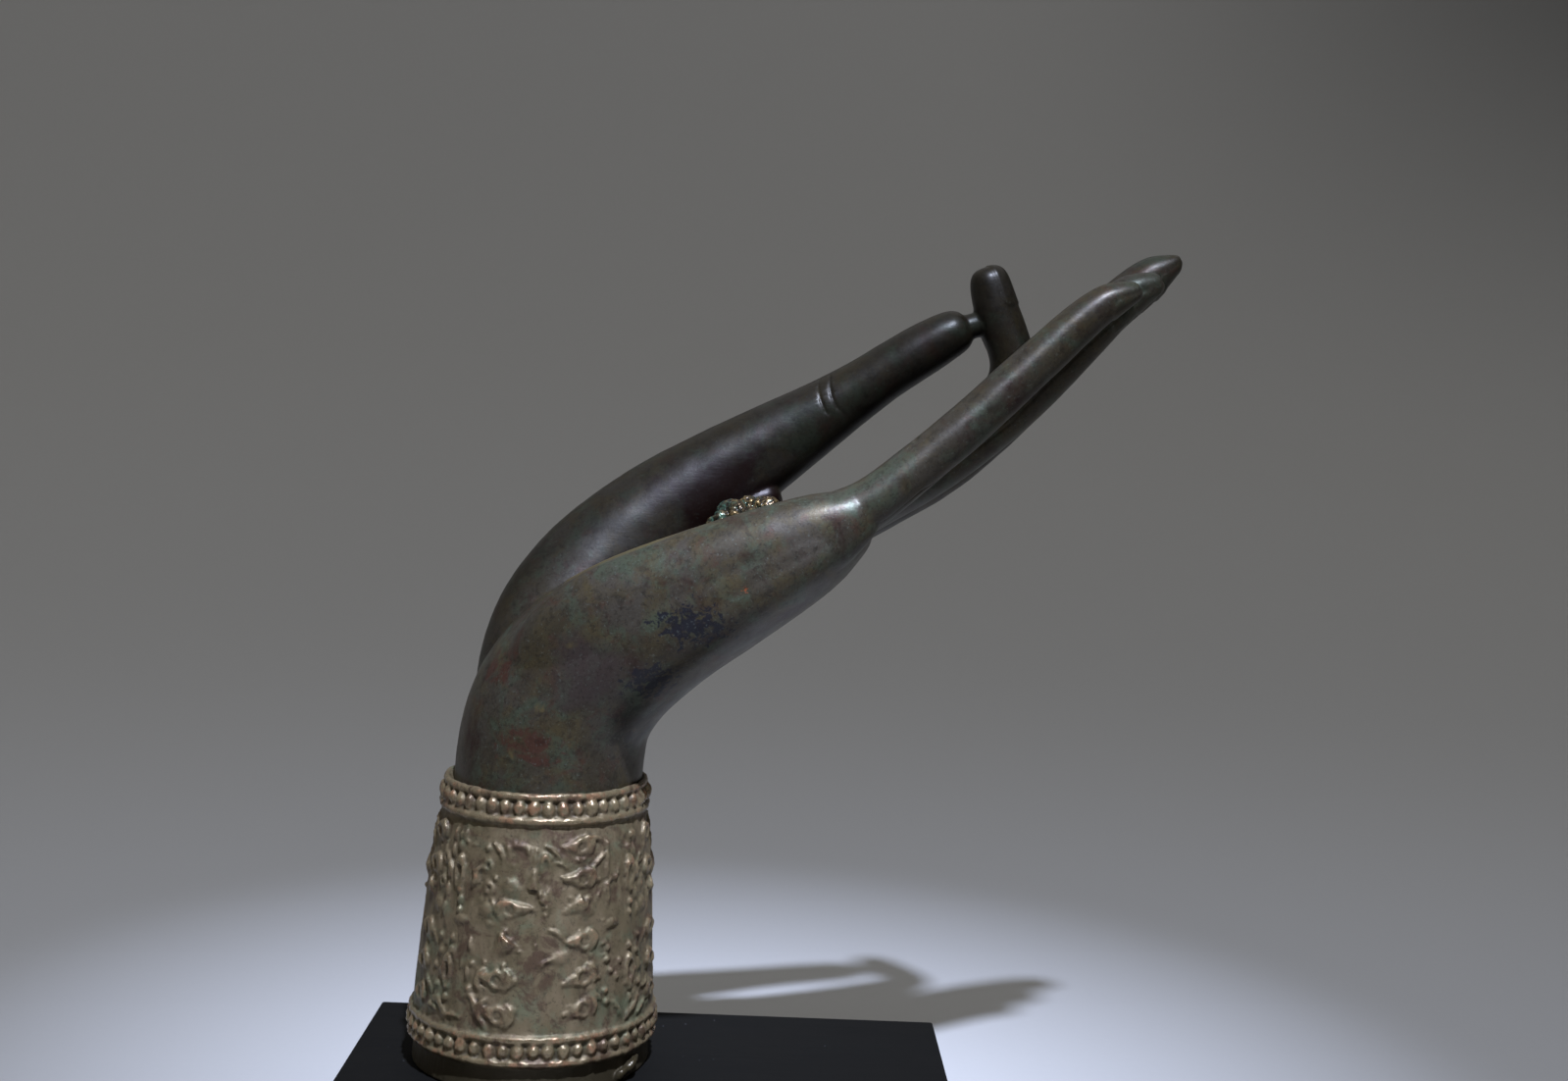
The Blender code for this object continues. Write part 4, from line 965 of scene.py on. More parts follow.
def relief_layout(draw):
    """Each motif's name with its place on the cuff, in the casting's millimetres."""
    places = []

    def put(name, turn, height, lie, wide, tall, proud, wobble=1.0):
        turn += draw.uniform(-0.0012, 0.0012) * wobble
        height += draw.uniform(-0.3, 0.3) * wobble
        lie = math.radians(lie + draw.uniform(-7.0, 7.0) * wobble)
        here = cuff_place(turn, height, lie, (wide, tall, proud))
        if name != "eye":
            places.append((name, here))
            return
        for part, along, across, spin, *size in EYE:
            there = Matrix.Translation((along, across, 0.0)) @ Matrix.Rotation(math.radians(spin), 4, "Z")
            places.append((part, here @ there @ Matrix.Diagonal((*size, 1.0))))

    for count, height in BEAD_ROWS:
        for k in range(count):
            size = draw.uniform(0.82, 1.08)
            put("bead", k / count, height, 0, *[size * side for side in BEAD_SIZE], 0.6)
    for motif in FRONT_MOTIFS + FOOT_LIP:
        put(*motif, 0.0)
    for panel in range(1, PANELS):
        middle = PANEL_TURN + panel / PANELS
        for name, turn, height, lie, *size in PANEL_MOTIFS:
            put(name, middle + turn, height, lie, *size)
            if turn:
                put(name, middle - turn, height, 180 - lie, *size)
        if panel < PANELS - 1:
            for name, turn, *rest in CHAIN_MOTIFS:
                put(name, middle + CHAIN_TURN + turn, *rest)
    for _ in range(STRAY_MOTIFS):
        name = draw.choice(("sprig", "bead", "bar", "lump"))
        turn = draw.uniform(0.0, 1.0)
        height = draw.uniform(CUFF_BOTTOM + BAND_HEIGHT + 2.5, CUFF_TOP - BAND_HEIGHT - 2.5)
        if abs(turn - PANEL_TURN) > 0.035 or height > 62.0:
            size = [draw.uniform(0.35, 0.7) for _ in range(3)]
            put(name, turn, height, draw.uniform(0.0, 360.0), *size)
    return places


def add(tree, kind, inputs=None, stops=None, **settings):
    """Adds a node with its settings and colour stops; an input is a value, or the socket that feeds it."""
    made = tree.nodes.new(kind)
    for name, value in settings.items():
        setattr(made, name, value)
    for key, value in (inputs or {}).items():
        if isinstance(value, bpy.types.NodeSocket):
            tree.links.new(value, made.inputs[key])
        else:
            made.inputs[key].default_value = value
    if stops:
        elements = made.color_ramp.elements
        elements.remove(elements[1])
        elements[0].position = stops[0][0]
        for place, _ in stops[1:]:
            elements.new(place)
        for element, (_, level) in zip(elements, stops):
            element.color = (level, level, level, 1.0) if isinstance(level, float) else (*level, 1.0)
    return made


def new_material(name, metallic, roughness):
    material = bpy.data.materials.new(name)
    material.use_nodes = True
    tree = material.node_tree
    shader = tree.nodes["Principled BSDF"]
    shader.inputs["Metallic"].default_value = metallic
    shader.inputs["Roughness"].default_value = roughness
    place = add(tree, "ShaderNodeTexCoord").outputs["Object"]
    return material, tree, shader, place


def per_mm(size):
    """The scale of a pattern whose features are this many millimetres across."""
    return 1.0 / (size * MM)


def place_mask(tree, place, middle, reach):
    """1 in the middle of a place on the casting, falling to 0 at its reach."""
    there = add(
        tree, "ShaderNodeMapping",
        {"Vector": place, "Location": FOOT + Vector(middle) * MM, "Scale": [side * MM for side in reach]},
        vector_type="TEXTURE",
    )
    return add(tree, "ShaderNodeTexGradient", {"Vector": there.outputs["Vector"]}, gradient_type="SPHERICAL")


def layered(tree, place, look, colour, layers):
    """Lays ragged clouds of other colours over a colour, one after the other."""
    for name, size, low, high, share, shift, middle, reach in layers:
        moved = add(tree, "ShaderNodeMapping", {"Vector": place, "Location": (shift, shift * 0.7, -shift)})
        cloud = add(
            tree, "ShaderNodeTexNoise",
            {"Vector": moved.outputs["Vector"], "Scale": per_mm(size), "Detail": 8.0, "Roughness": 0.66,
             "Distortion": 0.5},
        )
        level = cloud.outputs["Fac"]
        if any(reach):
            inside = place_mask(tree, place, middle, reach).outputs["Fac"]
            lowered = add(tree, "ShaderNodeMath", {0: level, 1: 0.5}, operation="SUBTRACT")
            raised = {0: inside, 1: 0.5, 2: lowered.outputs[0]}
            level = add(tree, "ShaderNodeMath", raised, operation="MULTIPLY_ADD").outputs[0]
        cover = add(tree, "ShaderNodeValToRGB", {"Fac": level}, stops=((low, 0.0), (high, share)))
        mixed = {0: cover.outputs["Color"], 6: colour, 7: (*getattr(look, name), 1.0)}
        colour = add(tree, "ShaderNodeMix", mixed, data_type="RGBA").outputs[2]
    return colour


def cast_bronze(look):
    """Lost-wax cast bronze under a waxed brown-black patina.

    It gives dark metal mottled in olive, green-grey, red-brown and blue-black, with a satin gloss and fine
    scratches. Painted light is laid in too: painted shade darkens the thumb's side, over a darker patina
    there, and the fingers; painted shade deepens the red-brown patina in the palm's hollow under the thumb;
    and a painted reflection of the lamp shows as two short light dashes on the outer side of the palm.
    """
    material, tree, shader, place = new_material("patinated_cast_bronze", 0.35, 0.4)
    shader.inputs["Specular IOR Level"].default_value = 0.36
    colour = layered(tree, place, look, (*look.base, 1.0), HAND_LAYERS)
    # Rubbed edges and scratches, and the painted reflection of the lamp as two light dashes
    worn = add(tree, "ShaderNodeAttribute", attribute_name="worn").outputs["Fac"]
    wear_and_painted_glint = add(tree, "ShaderNodeMix", {0: worn, 6: colour, 7: (*look.rubbed, 1.0)}, data_type="RGBA")
    sides = add(tree, "ShaderNodeSeparateXYZ", {"Vector": place})
    # Darker patina and painted shade on the thumb's side, growing towards the thumb
    thumb_side_patina_and_shade = add(
        tree, "ShaderNodeMapRange",
        {"Value": sides.outputs["Y"], "From Min": -6.0 * MM, "From Max": 8.0 * MM, "To Max": 0.86},
    )
    # Painted shade: darkens the fingers, where less lamp light falls
    fingers = add(
        tree, "ShaderNodeMapRange",
        {"Value": sides.outputs["X"], "From Min": 48.0 * MM, "From Max": 92.0 * MM, "To Max": 0.32},
    )
    shade = add(
        tree, "ShaderNodeMath", {0: thumb_side_patina_and_shade.outputs["Result"], 1: fingers.outputs["Result"]},
        operation="MAXIMUM",
    )
    final_colour = add(
        tree, "ShaderNodeMix", {0: shade.outputs[0], 6: wear_and_painted_glint.outputs[2], 7: (*look.shade, 1.0)},
        data_type="RGBA", blend_type="MULTIPLY",
    )
    tree.links.new(final_colour.outputs[2], shader.inputs["Base Color"])
    broad = add(
        tree, "ShaderNodeTexNoise", {"Vector": place, "Scale": per_mm(6.0), "Detail": 8.0, "Roughness": 0.7}
    )
    gloss = add(
        tree, "ShaderNodeMapRange",
        {"Value": broad.outputs["Fac"], "From Min": 0.3, "From Max": 0.7, "To Min": 0.33, "To Max": 0.46},
    )
    tree.links.new(gloss.outputs["Result"], shader.inputs["Roughness"])
    turned = add(
        tree, "ShaderNodeMapping",
        {"Vector": place, "Rotation": (0.0, math.radians(33.7), 0.0), "Scale": (0.10, 1.0, 1.0)},
    )
    strokes = add(
        tree, "ShaderNodeTexNoise",
        {"Vector": turned.outputs["Vector"], "Scale": per_mm(1.1), "Detail": 3.0, "Roughness": 0.6},
    )
    pits = add(
        tree, "ShaderNodeTexNoise", {"Vector": place, "Scale": per_mm(0.9), "Detail": 4.0, "Roughness": 0.6}
    )
    grain = add(
        tree, "ShaderNodeMath", {0: strokes.outputs["Fac"], 1: pits.outputs["Fac"]}, operation="ADD"
    )
    bump = add(tree, "ShaderNodeBump", {"Height": grain.outputs[0], "Strength": 0.35, "Distance": 0.08 * MM})
    tree.links.new(bump.outputs["Normal"], shader.inputs["Normal"])
    return material


def relief_bronze(look):
    """The same bronze on the cuff, rubbed to bare metal on the crests.

    It gives a tan ground with pale green copper salts, brown smears, a darker colour in the concave creases
    round each motif and golden crests.
    """
    material, tree, shader, place = new_material("rubbed_relief_bronze", 0.45, 0.42)
    relief = add(tree, "ShaderNodeAttribute", attribute_name="relief").outputs["Fac"]
    ground = layered(tree, place, look, (*look.ground, 1.0), GROUND_LAYERS)
    bare = layered(tree, place, look, (*look.crest, 1.0), CREST_LAYERS)
    fine = add(
        tree, "ShaderNodeTexNoise", {"Vector": place, "Scale": per_mm(2.2), "Detail": 5.0, "Roughness": 0.7}
    )
    broken = add(
        tree, "ShaderNodeMapRange",
        {"Value": fine.outputs["Fac"], "From Min": 0.3, "From Max": 0.7, "To Min": -0.22, "To Max": 0.22},
    )
    worn = add(tree, "ShaderNodeMath", {0: relief, 1: broken.outputs["Result"]}, operation="ADD")
    crest = add(tree, "ShaderNodeValToRGB", {"Fac": worn.outputs[0]}, stops=((0.40, 0.0), (0.80, 1.0)))
    crested = add(tree, "ShaderNodeMix", {0: crest.outputs["Color"], 6: ground, 7: bare}, data_type="RGBA")
    smeared = layered(tree, place, look, crested.outputs[2], OVER_ALL_LAYERS)
    sharp = add(tree, "ShaderNodeNewGeometry").outputs["Pointiness"]
    # Darker colour in the concave creases, taken from the mesh's pointiness
    edge = add(tree, "ShaderNodeValToRGB", {"Fac": sharp}, stops=((0.42, 1.0), (0.495, 0.0)))
    creased = add(
        tree, "ShaderNodeMix", {0: edge.outputs["Color"], 6: smeared, 7: (*look.crease, 1.0)},
        data_type="RGBA",
    )
    parts = add(tree, "ShaderNodeSeparateXYZ", {"Vector": place})
    low = add(
        tree, "ShaderNodeMapRange",
        {"Value": parts.outputs["Z"], "From Min": FOOT.z + 7.2 * MM, "From Max": FOOT.z + 8.6 * MM,
         "To Min": 1.0, "To Max": 0.0},
    )
    final_colour = add(
        tree, "ShaderNodeMix", {0: low.outputs["Result"], 6: creased.outputs[2], 7: (*look.foot, 1.0)},
        data_type="RGBA",
    )
    tree.links.new(final_colour.outputs[2], shader.inputs["Base Color"])
    gloss = add(
        tree, "ShaderNodeMapRange",
        {"Value": crest.outputs["Color"], "From Min": 0.0, "From Max": 1.0, "To Min": 0.55, "To Max": 0.27},
    )
    tree.links.new(gloss.outputs["Result"], shader.inputs["Roughness"])
    pits = add(
        tree, "ShaderNodeTexNoise", {"Vector": place, "Scale": per_mm(0.8), "Detail": 5.0, "Roughness": 0.65}
    )
    bump = add(tree, "ShaderNodeBump", {"Height": pits.outputs["Fac"], "Strength": 0.6, "Distance": 0.2 * MM})
    tree.links.new(bump.outputs["Normal"], shader.inputs["Normal"])
    return material


def crusted_bronze(look):
    """Unchased bronze with the casting skin left on.

    It gives glossy gold and brown lumps with dark hollows between them, and thick green salts on the wrist's
    side.
    """
    material, tree, shader, place = new_material("crusted_ornament_bronze", 0.7, 0.26)
    sharp = add(tree, "ShaderNodeNewGeometry").outputs["Pointiness"]
    ground = layered(tree, place, look, (*look.crease, 1.0), ORNAMENT_LAYERS)
    lumps = layered(tree, place, look, (*look.crest, 1.0), CRUST_LAYERS)
    lump = add(tree, "ShaderNodeValToRGB", {"Fac": sharp}, stops=((0.49, 0.0), (0.55, 1.0)))
    final_colour = add(tree, "ShaderNodeMix", {0: lump.outputs["Color"], 6: ground, 7: lumps}, data_type="RGBA")
    tree.links.new(final_colour.outputs[2], shader.inputs["Base Color"])
    pits = add(
        tree, "ShaderNodeTexNoise", {"Vector": place, "Scale": per_mm(0.7), "Detail": 4.0, "Roughness": 0.6}
    )
    bump = add(tree, "ShaderNodeBump", {"Height": pits.outputs["Fac"], "Strength": 0.6, "Distance": 0.2 * MM})
    tree.links.new(bump.outputs["Normal"], shader.inputs["Normal"])
    return material


def ebonised_wood(look):
    """Close-grained wood under matt black lacquer, sanded between coats.

    It gives near black with faint long grain, a little dust, and red-brown wood along the rubbed back edge.
    """
    material, tree, shader, place = new_material("ebonised_wood", 0.0, 0.7)
    shader.inputs["Specular IOR Level"].default_value = 0.1
    stretched = add(tree, "ShaderNodeMapping", {"Vector": place, "Scale": (0.04, 1.0, 1.0)})
    grain = add(
        tree, "ShaderNodeTexNoise",
        {"Vector": stretched.outputs["Vector"], "Scale": per_mm(1.6), "Detail": 5.0, "Roughness": 0.55},
    )
    tone = add(
        tree, "ShaderNodeMix",
        {0: grain.outputs["Fac"], 6: (*look.black, 1.0), 7: (*look.sheen, 1.0)},
        data_type="RGBA",
    )
    specks = add(
        tree, "ShaderNodeTexVoronoi", {"Vector": place, "Scale": per_mm(5.0), "Randomness": 1.0}, feature="F1"
    )
    dust = add(
        tree, "ShaderNodeValToRGB", {"Fac": specks.outputs["Distance"]}, stops=((0.035, 0.7), (0.07, 0.0))
    )
    drift = add(tree, "ShaderNodeTexNoise", {"Vector": place, "Scale": per_mm(30.0), "Detail": 3.0})
    some = add(tree, "ShaderNodeValToRGB", {"Fac": drift.outputs["Fac"]}, stops=((0.48, 0.0), (0.62, 1.0)))
    both = add(
        tree, "ShaderNodeMath", {0: dust.outputs["Color"], 1: some.outputs["Color"]}, operation="MULTIPLY",
        use_clamp=True,
    )
    dusty = add(
        tree, "ShaderNodeMix", {0: both.outputs[0], 6: tone.outputs[2], 7: (*look.dust, 1.0)},
        data_type="RGBA",
    )
    sides = add(tree, "ShaderNodeSeparateXYZ", {"Vector": place})
    top = PLINTH_BOX[1]
    up = add(
        tree, "ShaderNodeMapRange",
        {"Value": sides.outputs["Z"], "From Min": top[2] - 0.9 * MM, "From Max": top[2] - 0.3 * MM},
    )
    back = add(
        tree, "ShaderNodeMapRange",
        {"Value": sides.outputs["Y"], "From Min": top[1] - 0.9 * MM, "From Max": top[1] - 0.3 * MM},
    )
    corner = add(
        tree, "ShaderNodeMath", {0: up.outputs["Result"], 1: back.outputs["Result"]}, operation="MULTIPLY",
        use_clamp=True,
    )
    patchy = add(tree, "ShaderNodeTexNoise", {"Vector": place, "Scale": per_mm(9.0), "Detail": 6.0})
    where = add(tree, "ShaderNodeValToRGB", {"Fac": patchy.outputs["Fac"]}, stops=((0.46, 0.0), (0.54, 1.0)))
    rubbed = add(
        tree, "ShaderNodeMath", {0: corner.outputs[0], 1: where.outputs["Color"]}, operation="MULTIPLY",
        use_clamp=True,
    )
    final_colour = add(
        tree, "ShaderNodeMix", {0: rubbed.outputs[0], 6: dusty.outputs[2], 7: (*look.bare, 1.0)},
        data_type="RGBA",
    )
    tree.links.new(final_colour.outputs[2], shader.inputs["Base Color"])
    gloss = add(
        tree, "ShaderNodeMapRange",
        {"Value": drift.outputs["Fac"], "From Min": 0.3, "From Max": 0.7, "To Min": 0.66, "To Max": 0.8},
    )
    tree.links.new(gloss.outputs["Result"], shader.inputs["Roughness"])
    bump = add(
        tree, "ShaderNodeBump", {"Height": grain.outputs["Fac"], "Strength": 0.3, "Distance": 0.1 * MM}
    )
    tree.links.new(bump.outputs["Normal"], shader.inputs["Normal"])
    return material


def zinc_plate(look):
    """Bright zinc plate on turned steel: a cool grey metal with fine turning marks and a faint bloom."""
    material, tree, shader, place = new_material("zinc_plated_steel", 1.0, 0.32)
    bloom = add(tree, "ShaderNodeTexNoise", {"Vector": place, "Scale": per_mm(4.0), "Detail": 5.0})
    tone = add(
        tree, "ShaderNodeMix", {0: bloom.outputs["Fac"], 6: (*look.zinc, 1.0), 7: (*look.bloom, 1.0)},
        data_type="RGBA",
    )
    tree.links.new(tone.outputs[2], shader.inputs["Base Color"])
    centred = add(tree, "ShaderNodeMapping", {"Vector": place, "Location": (-FOOT.x, 0.0, 0.0)})
    lines = add(
        tree, "ShaderNodeTexWave",
        {"Vector": centred.outputs["Vector"], "Scale": per_mm(3.0), "Distortion": 0.4, "Detail": 2.0},
        wave_type="RINGS", rings_direction="Z",
    )
    bump = add(
        tree, "ShaderNodeBump", {"Height": lines.outputs["Fac"], "Strength": 0.15, "Distance": 0.05 * MM}
    )
    tree.links.new(bump.outputs["Normal"], shader.inputs["Normal"])
    return material


def paper(look):
    """Matt background paper, in one sweep from the floor up the wall, darker towards its top right corner."""
    material, tree, shader, place = new_material("background_paper", 0.0, 0.9)
    fibre = add(tree, "ShaderNodeTexNoise", {"Vector": place, "Scale": per_mm(3.0), "Detail": 4.0})
    tone = add(
        tree, "ShaderNodeMix",
        {0: fibre.outputs["Fac"], 6: (*look.paper, 1.0), 7: (*[c * 0.97 for c in look.paper], 1.0)},
        data_type="RGBA",
    )
    sides = add(tree, "ShaderNodeSeparateXYZ", {"Vector": place})
    right = add(
        tree, "ShaderNodeMapRange", {"Value": sides.outputs["X"], "From Min": 0.2, "From Max": 1.25},
        interpolation_type="SMOOTHSTEP",
    )
    up = add(
        tree, "ShaderNodeMapRange", {"Value": sides.outputs["Z"], "From Min": 0.0, "From Max": 1.1},
        interpolation_type="SMOOTHSTEP",
    )
    corner = add(
        tree, "ShaderNodeMath", {0: right.outputs["Result"], 1: up.outputs["Result"]}, operation="MULTIPLY"
    )
    final_colour = add(
        tree, "ShaderNodeMix", {0: corner.outputs[0], 6: tone.outputs[2], 7: (*look.corner, 1.0)},
        data_type="RGBA",
    )
    tree.links.new(final_colour.outputs[2], shader.inputs["Base Color"])
    shader.inputs["Specular IOR Level"].default_value = 0.1
    return material


class HandSettings(bpy.types.PropertyGroup):
    """Sizes and colours of the smooth part of the casting."""

    voxel: length_property("Skin grain", "Size of the grid that fuses the limbs into one skin", 0.0005)
    ease: bpy.props.IntProperty(
        name="Ease", description="Smoothing passes over the fused skin", default=9, min=0
    )
    share: share_property("Share of the skin's faces that is kept", 0.235)
    base: colour_property("Patina", "Brown-black ground of the patina", "#3E3729")
    dark: colour_property("Dark patina", "Deepest brown-black of the bronze", "#231E17")
    grey: colour_property("Grey patina", "Lighter brown-grey clouds", "#48423A")
    olive: colour_property("Olive patches", "Olive-gold tones", "#4C422B")
    green: colour_property("Green patches", "Green-grey copper tones", "#444D3D")
    red: colour_property("Red patches", "Red-brown copper tones", "#482E24")
    # Red-brown patina deepened with painted shade in the palm's hollow under the thumb
    red_patina_and_hollow_shade: colour_property("Palm's hollow", "Deep red-brown by the ornament", "#2C1510")
    plum: colour_property("Plum patches", "Purple-brown tones", "#403532")
    stain: colour_property("Stains", "Blue-black stains on the outer edge of the palm", "#1E1E26")
    rust: colour_property("Rust specks", "Orange-red specks on the outer edge of the palm", "#8A4A2C")
    pale: colour_property("Specks", "Pale green specks", "#78837A")
    # Also the colour of the painted reflection of the lamp: two short light dashes on the outer side of the
    # palm
    rubbed: colour_property("Rubbed edges", "Bronze that shows where edges are rubbed", "#655838")
    # Darker patina with painted shade on the thumb's side, and painted shade on the fingers
    shade: colour_property("Thumb side", "What darkens the patina on the thumb and index finger", "#7E7A70")


class OrnamentSettings(bpy.types.PropertyGroup):
    """Sizes and colours of the ornament in the palm."""

    voxel: length_property("Crust grain", "Size of the grid that fuses the lumps", 0.00035)
    crest: colour_property("Lumps", "Bare golden bronze on the lumps", "#9A8257")
    tarnish: colour_property("Tarnish", "Brown bronze on the lumps", "#4A3A2A")
    crease: colour_property("Hollows", "Dark metal between the lumps", "#2C2620")
    salt: colour_property("Salts", "Green salts on the lumps and in the hollows", "#4F7260")


class CuffSettings(bpy.types.PropertyGroup):
    """Sizes and colours of the relief cuff."""

    voxel: length_property("Relief grain", "Size of the grid that fuses the relief into the cuff", 0.0005)
    share: share_property("Share of the relief's faces that is kept", 0.49)
    ground: colour_property("Ground", "Tan ground between the motifs", "#7D6D53")
    olive: colour_property("Olive ground", "Olive-brown patches", "#675B40")
    green: colour_property("Green ground", "Pale green salts in the ground", "#68755A")
    brown: colour_property("Brown smears", "Red-brown smears over ground and crests", "#513C2D")
    crest: colour_property("Crests", "Rubbed crests", "#87775A")
    copper: colour_property("Copper glints", "Copper-pink patches on the crests", "#A57758")
    # Darker colour laid in the concave creases at the foot of each motif, and in small random specks
    crease: colour_property("Creases", "Dark dirt at the foot of each motif", "#2E271B")
    foot: colour_property("Foot", "Smooth metal under the lower rim", "#403826")


class PlinthSettings(bpy.types.PropertyGroup):
    """Colours of the wooden plinth."""

    black: colour_property("Lacquer", "Black lacquer", "#0E0E0D")
    sheen: colour_property("Grain", "Lighter grain in the lacquer", "#161513")
    dust: colour_property("Dust", "Dust on the lacquer", "#6A6A6E")
    bare: colour_property("Rubbed edge", "Red-brown wood at the rubbed back edge", "#4A2418")


class FixingSettings(bpy.types.PropertyGroup):
    """Colours of the hidden screw and washer."""

    zinc: colour_property("Zinc", "Bright zinc plate", "#C2C6CA")
    bloom: colour_property("Bloom", "Duller zinc", "#A4A8AD")


class StageSettings(bpy.types.PropertyGroup):
    """Backdrop, lamps and lens."""

    paper: colour_property("Paper", "Colour of the floor and backdrop", "#CAC9C7")
    corner: colour_property("Far corner", "The backdrop where it falls into shade", "#3A3A38")
    key: bpy.props.FloatProperty(
        name="Key lamp", description="Power of the narrow cool lamp", default=0.57, unit="POWER"
    )
    key_colour: colour_property("Key colour", "Colour of the narrow lamp", "#D5E1FF")
    spill: bpy.props.FloatProperty(
        name="Spill", description="Power that the lamp spills outside its cone", default=1.16, unit="POWER"
    )
    world: bpy.props.FloatProperty(
        name="Room light", description="Strength of the even room light", default=0.36
    )
    lens: bpy.props.FloatProperty(
        name="Lens", description="Focal length in millimetres", default=50.0, unit="CAMERA"
    )


class FIGURINE_OT_hand(bpy.types.Operator):
    """Build the forearm, palm and fingers of the casting"""

    bl_idname = "figurine.hand"
    bl_label = "Build Hand"

    def execute(self, context):
        look = context.scene.figurine_hand
        hand = joined("bronze_hand", [limb(name, stations) for name, stations in LIMBS.items()])
        apply_modifier(hand, "REMESH", mode="VOXEL", voxel_size=look.voxel)
        apply_modifier(hand, "SMOOTH", factor=0.5, iterations=look.ease)
        roughen(hand, "hand_unevenness", HAND_SIZE, HAND_HEIGHT)
        points, normals = points_of(hand)
        for line, half_width, depth in CUT_LINES:
            points -= normals * (depth * line_share(points, line, half_width) ** CUT_SHARPNESS)[:, None]
        for middle, reach, depth in NICKS:
            near = np.clip(1.0 - np.linalg.norm(points - np.array(middle), axis=1) / reach, 0.0, 1.0)
            points -= normals * (depth * near)[:, None]
        for nail in NAILS:
            inside = nail_depth(points, *nail) / NAIL_STEP
            points += normals * (NAIL_PROUD * np.clip(inside + 0.5, 0.0, 1.0))[:, None]
        set_points(hand, held_inside(points))
        apply_modifier(hand, "DECIMATE", ratio=look.share)
        below = (0.0, 0.0, HAND_CUT - TRIM_SIZE / 2.0)
        boolean_with(hand, block("below_hand", (TRIM_SIZE, TRIM_SIZE, TRIM_SIZE), below), "DIFFERENCE")
        boolean_with(hand, hollow("hollow_in_hand"), "DIFFERENCE")
        weld_and_check(hand)
        smooth_shaded(hand)
        points, _ = points_of(hand)
        # Rubbed edges and scratches, and the painted reflection of the lamp as two light dashes
        worn = sum(share * line_share(points, line, half_width) for line, half_width, share in WEAR_AND_PAINTED_GLINT_LINES)
        attribute = hand.data.attributes.new("worn", "FLOAT", "POINT")
        attribute.data.foreach_set("value", np.clip(worn, 0.0, 1.0).astype(np.float32))
        hand_on(hand, cast_bronze(look))
        return {"FINISHED"}


class FIGURINE_OT_ornament(bpy.types.Operator):
    """Build the rough petalled ornament in the palm"""

    bl_idname = "figurine.ornament"
    bl_label = "Build Palm Ornament"

    def execute(self, context):
        look = context.scene.figurine_ornament
        draw = random.Random(7)
        lay = Matrix.Translation(ORNAMENT_MIDDLE) @ Matrix.Rotation(math.radians(ORNAMENT_TILT), 4, "Y")
        primitive("ball", bpy.ops.mesh.primitive_uv_sphere_add, segments=24, ring_count=14, radius=1.0)
        ball = template("ball")
        bm = bmesh.new()

        def lump(place, size):
            mesh = ball.copy()
            mesh.transform(lay @ place @ Matrix.Diagonal((*size, 1.0)))
            bm.from_mesh(mesh)
            bpy.data.meshes.remove(mesh)

        lump(Matrix.Identity(4), ORNAMENT_DISC)
        for count, reach, lift, size in PETALS:
            for k in range(count):
                spin = Matrix.Rotation(2.0 * math.pi * (k + 0.5 * (count % 2)) / count, 4, "Z")
                there = Matrix.Translation((reach, draw.uniform(-0.5, 0.5), lift + draw.uniform(-0.5, 0.5)))
                lump(spin @ there, [side * draw.uniform(0.85, 1.1) for side in size])
        lump(Matrix.Translation((0.0, 0.0, BOSS_LIFT)), ORNAMENT_BOSS)
        for _ in range(GRANULES):
            angle = draw.uniform(0.0, 2.0 * math.pi)
            far = math.sqrt(draw.uniform(0.03, 0.8))
            size = draw.uniform(0.7, 1.5)
            across = Vector((math.cos(angle), math.sin(angle), 0.0)) * ORNAMENT_DISC[0] * far
            height = ORNAMENT_DISC[2] * math.sqrt(1.0 - far ** 2) + 1.2
            lump(Matrix.Translation(across + Vector((0.0, 0.0, height))), (size, size, size))
        bm.transform(Matrix.Translation(FOOT) @ Matrix.Scale(MM, 4))
        ornament = object_of(bm, "palm_ornament")
        apply_modifier(ornament, "REMESH", mode="VOXEL", voxel_size=look.voxel)
        apply_modifier(ornament, "SMOOTH", factor=0.5, iterations=2)
        roughen(ornament, "ornament_crust", CRUST_SIZE, CRUST_HEIGHT)
        weld_and_check(ornament)
        smooth_shaded(ornament)
        hand_on(ornament, crusted_bronze(look))
        return {"FINISHED"}


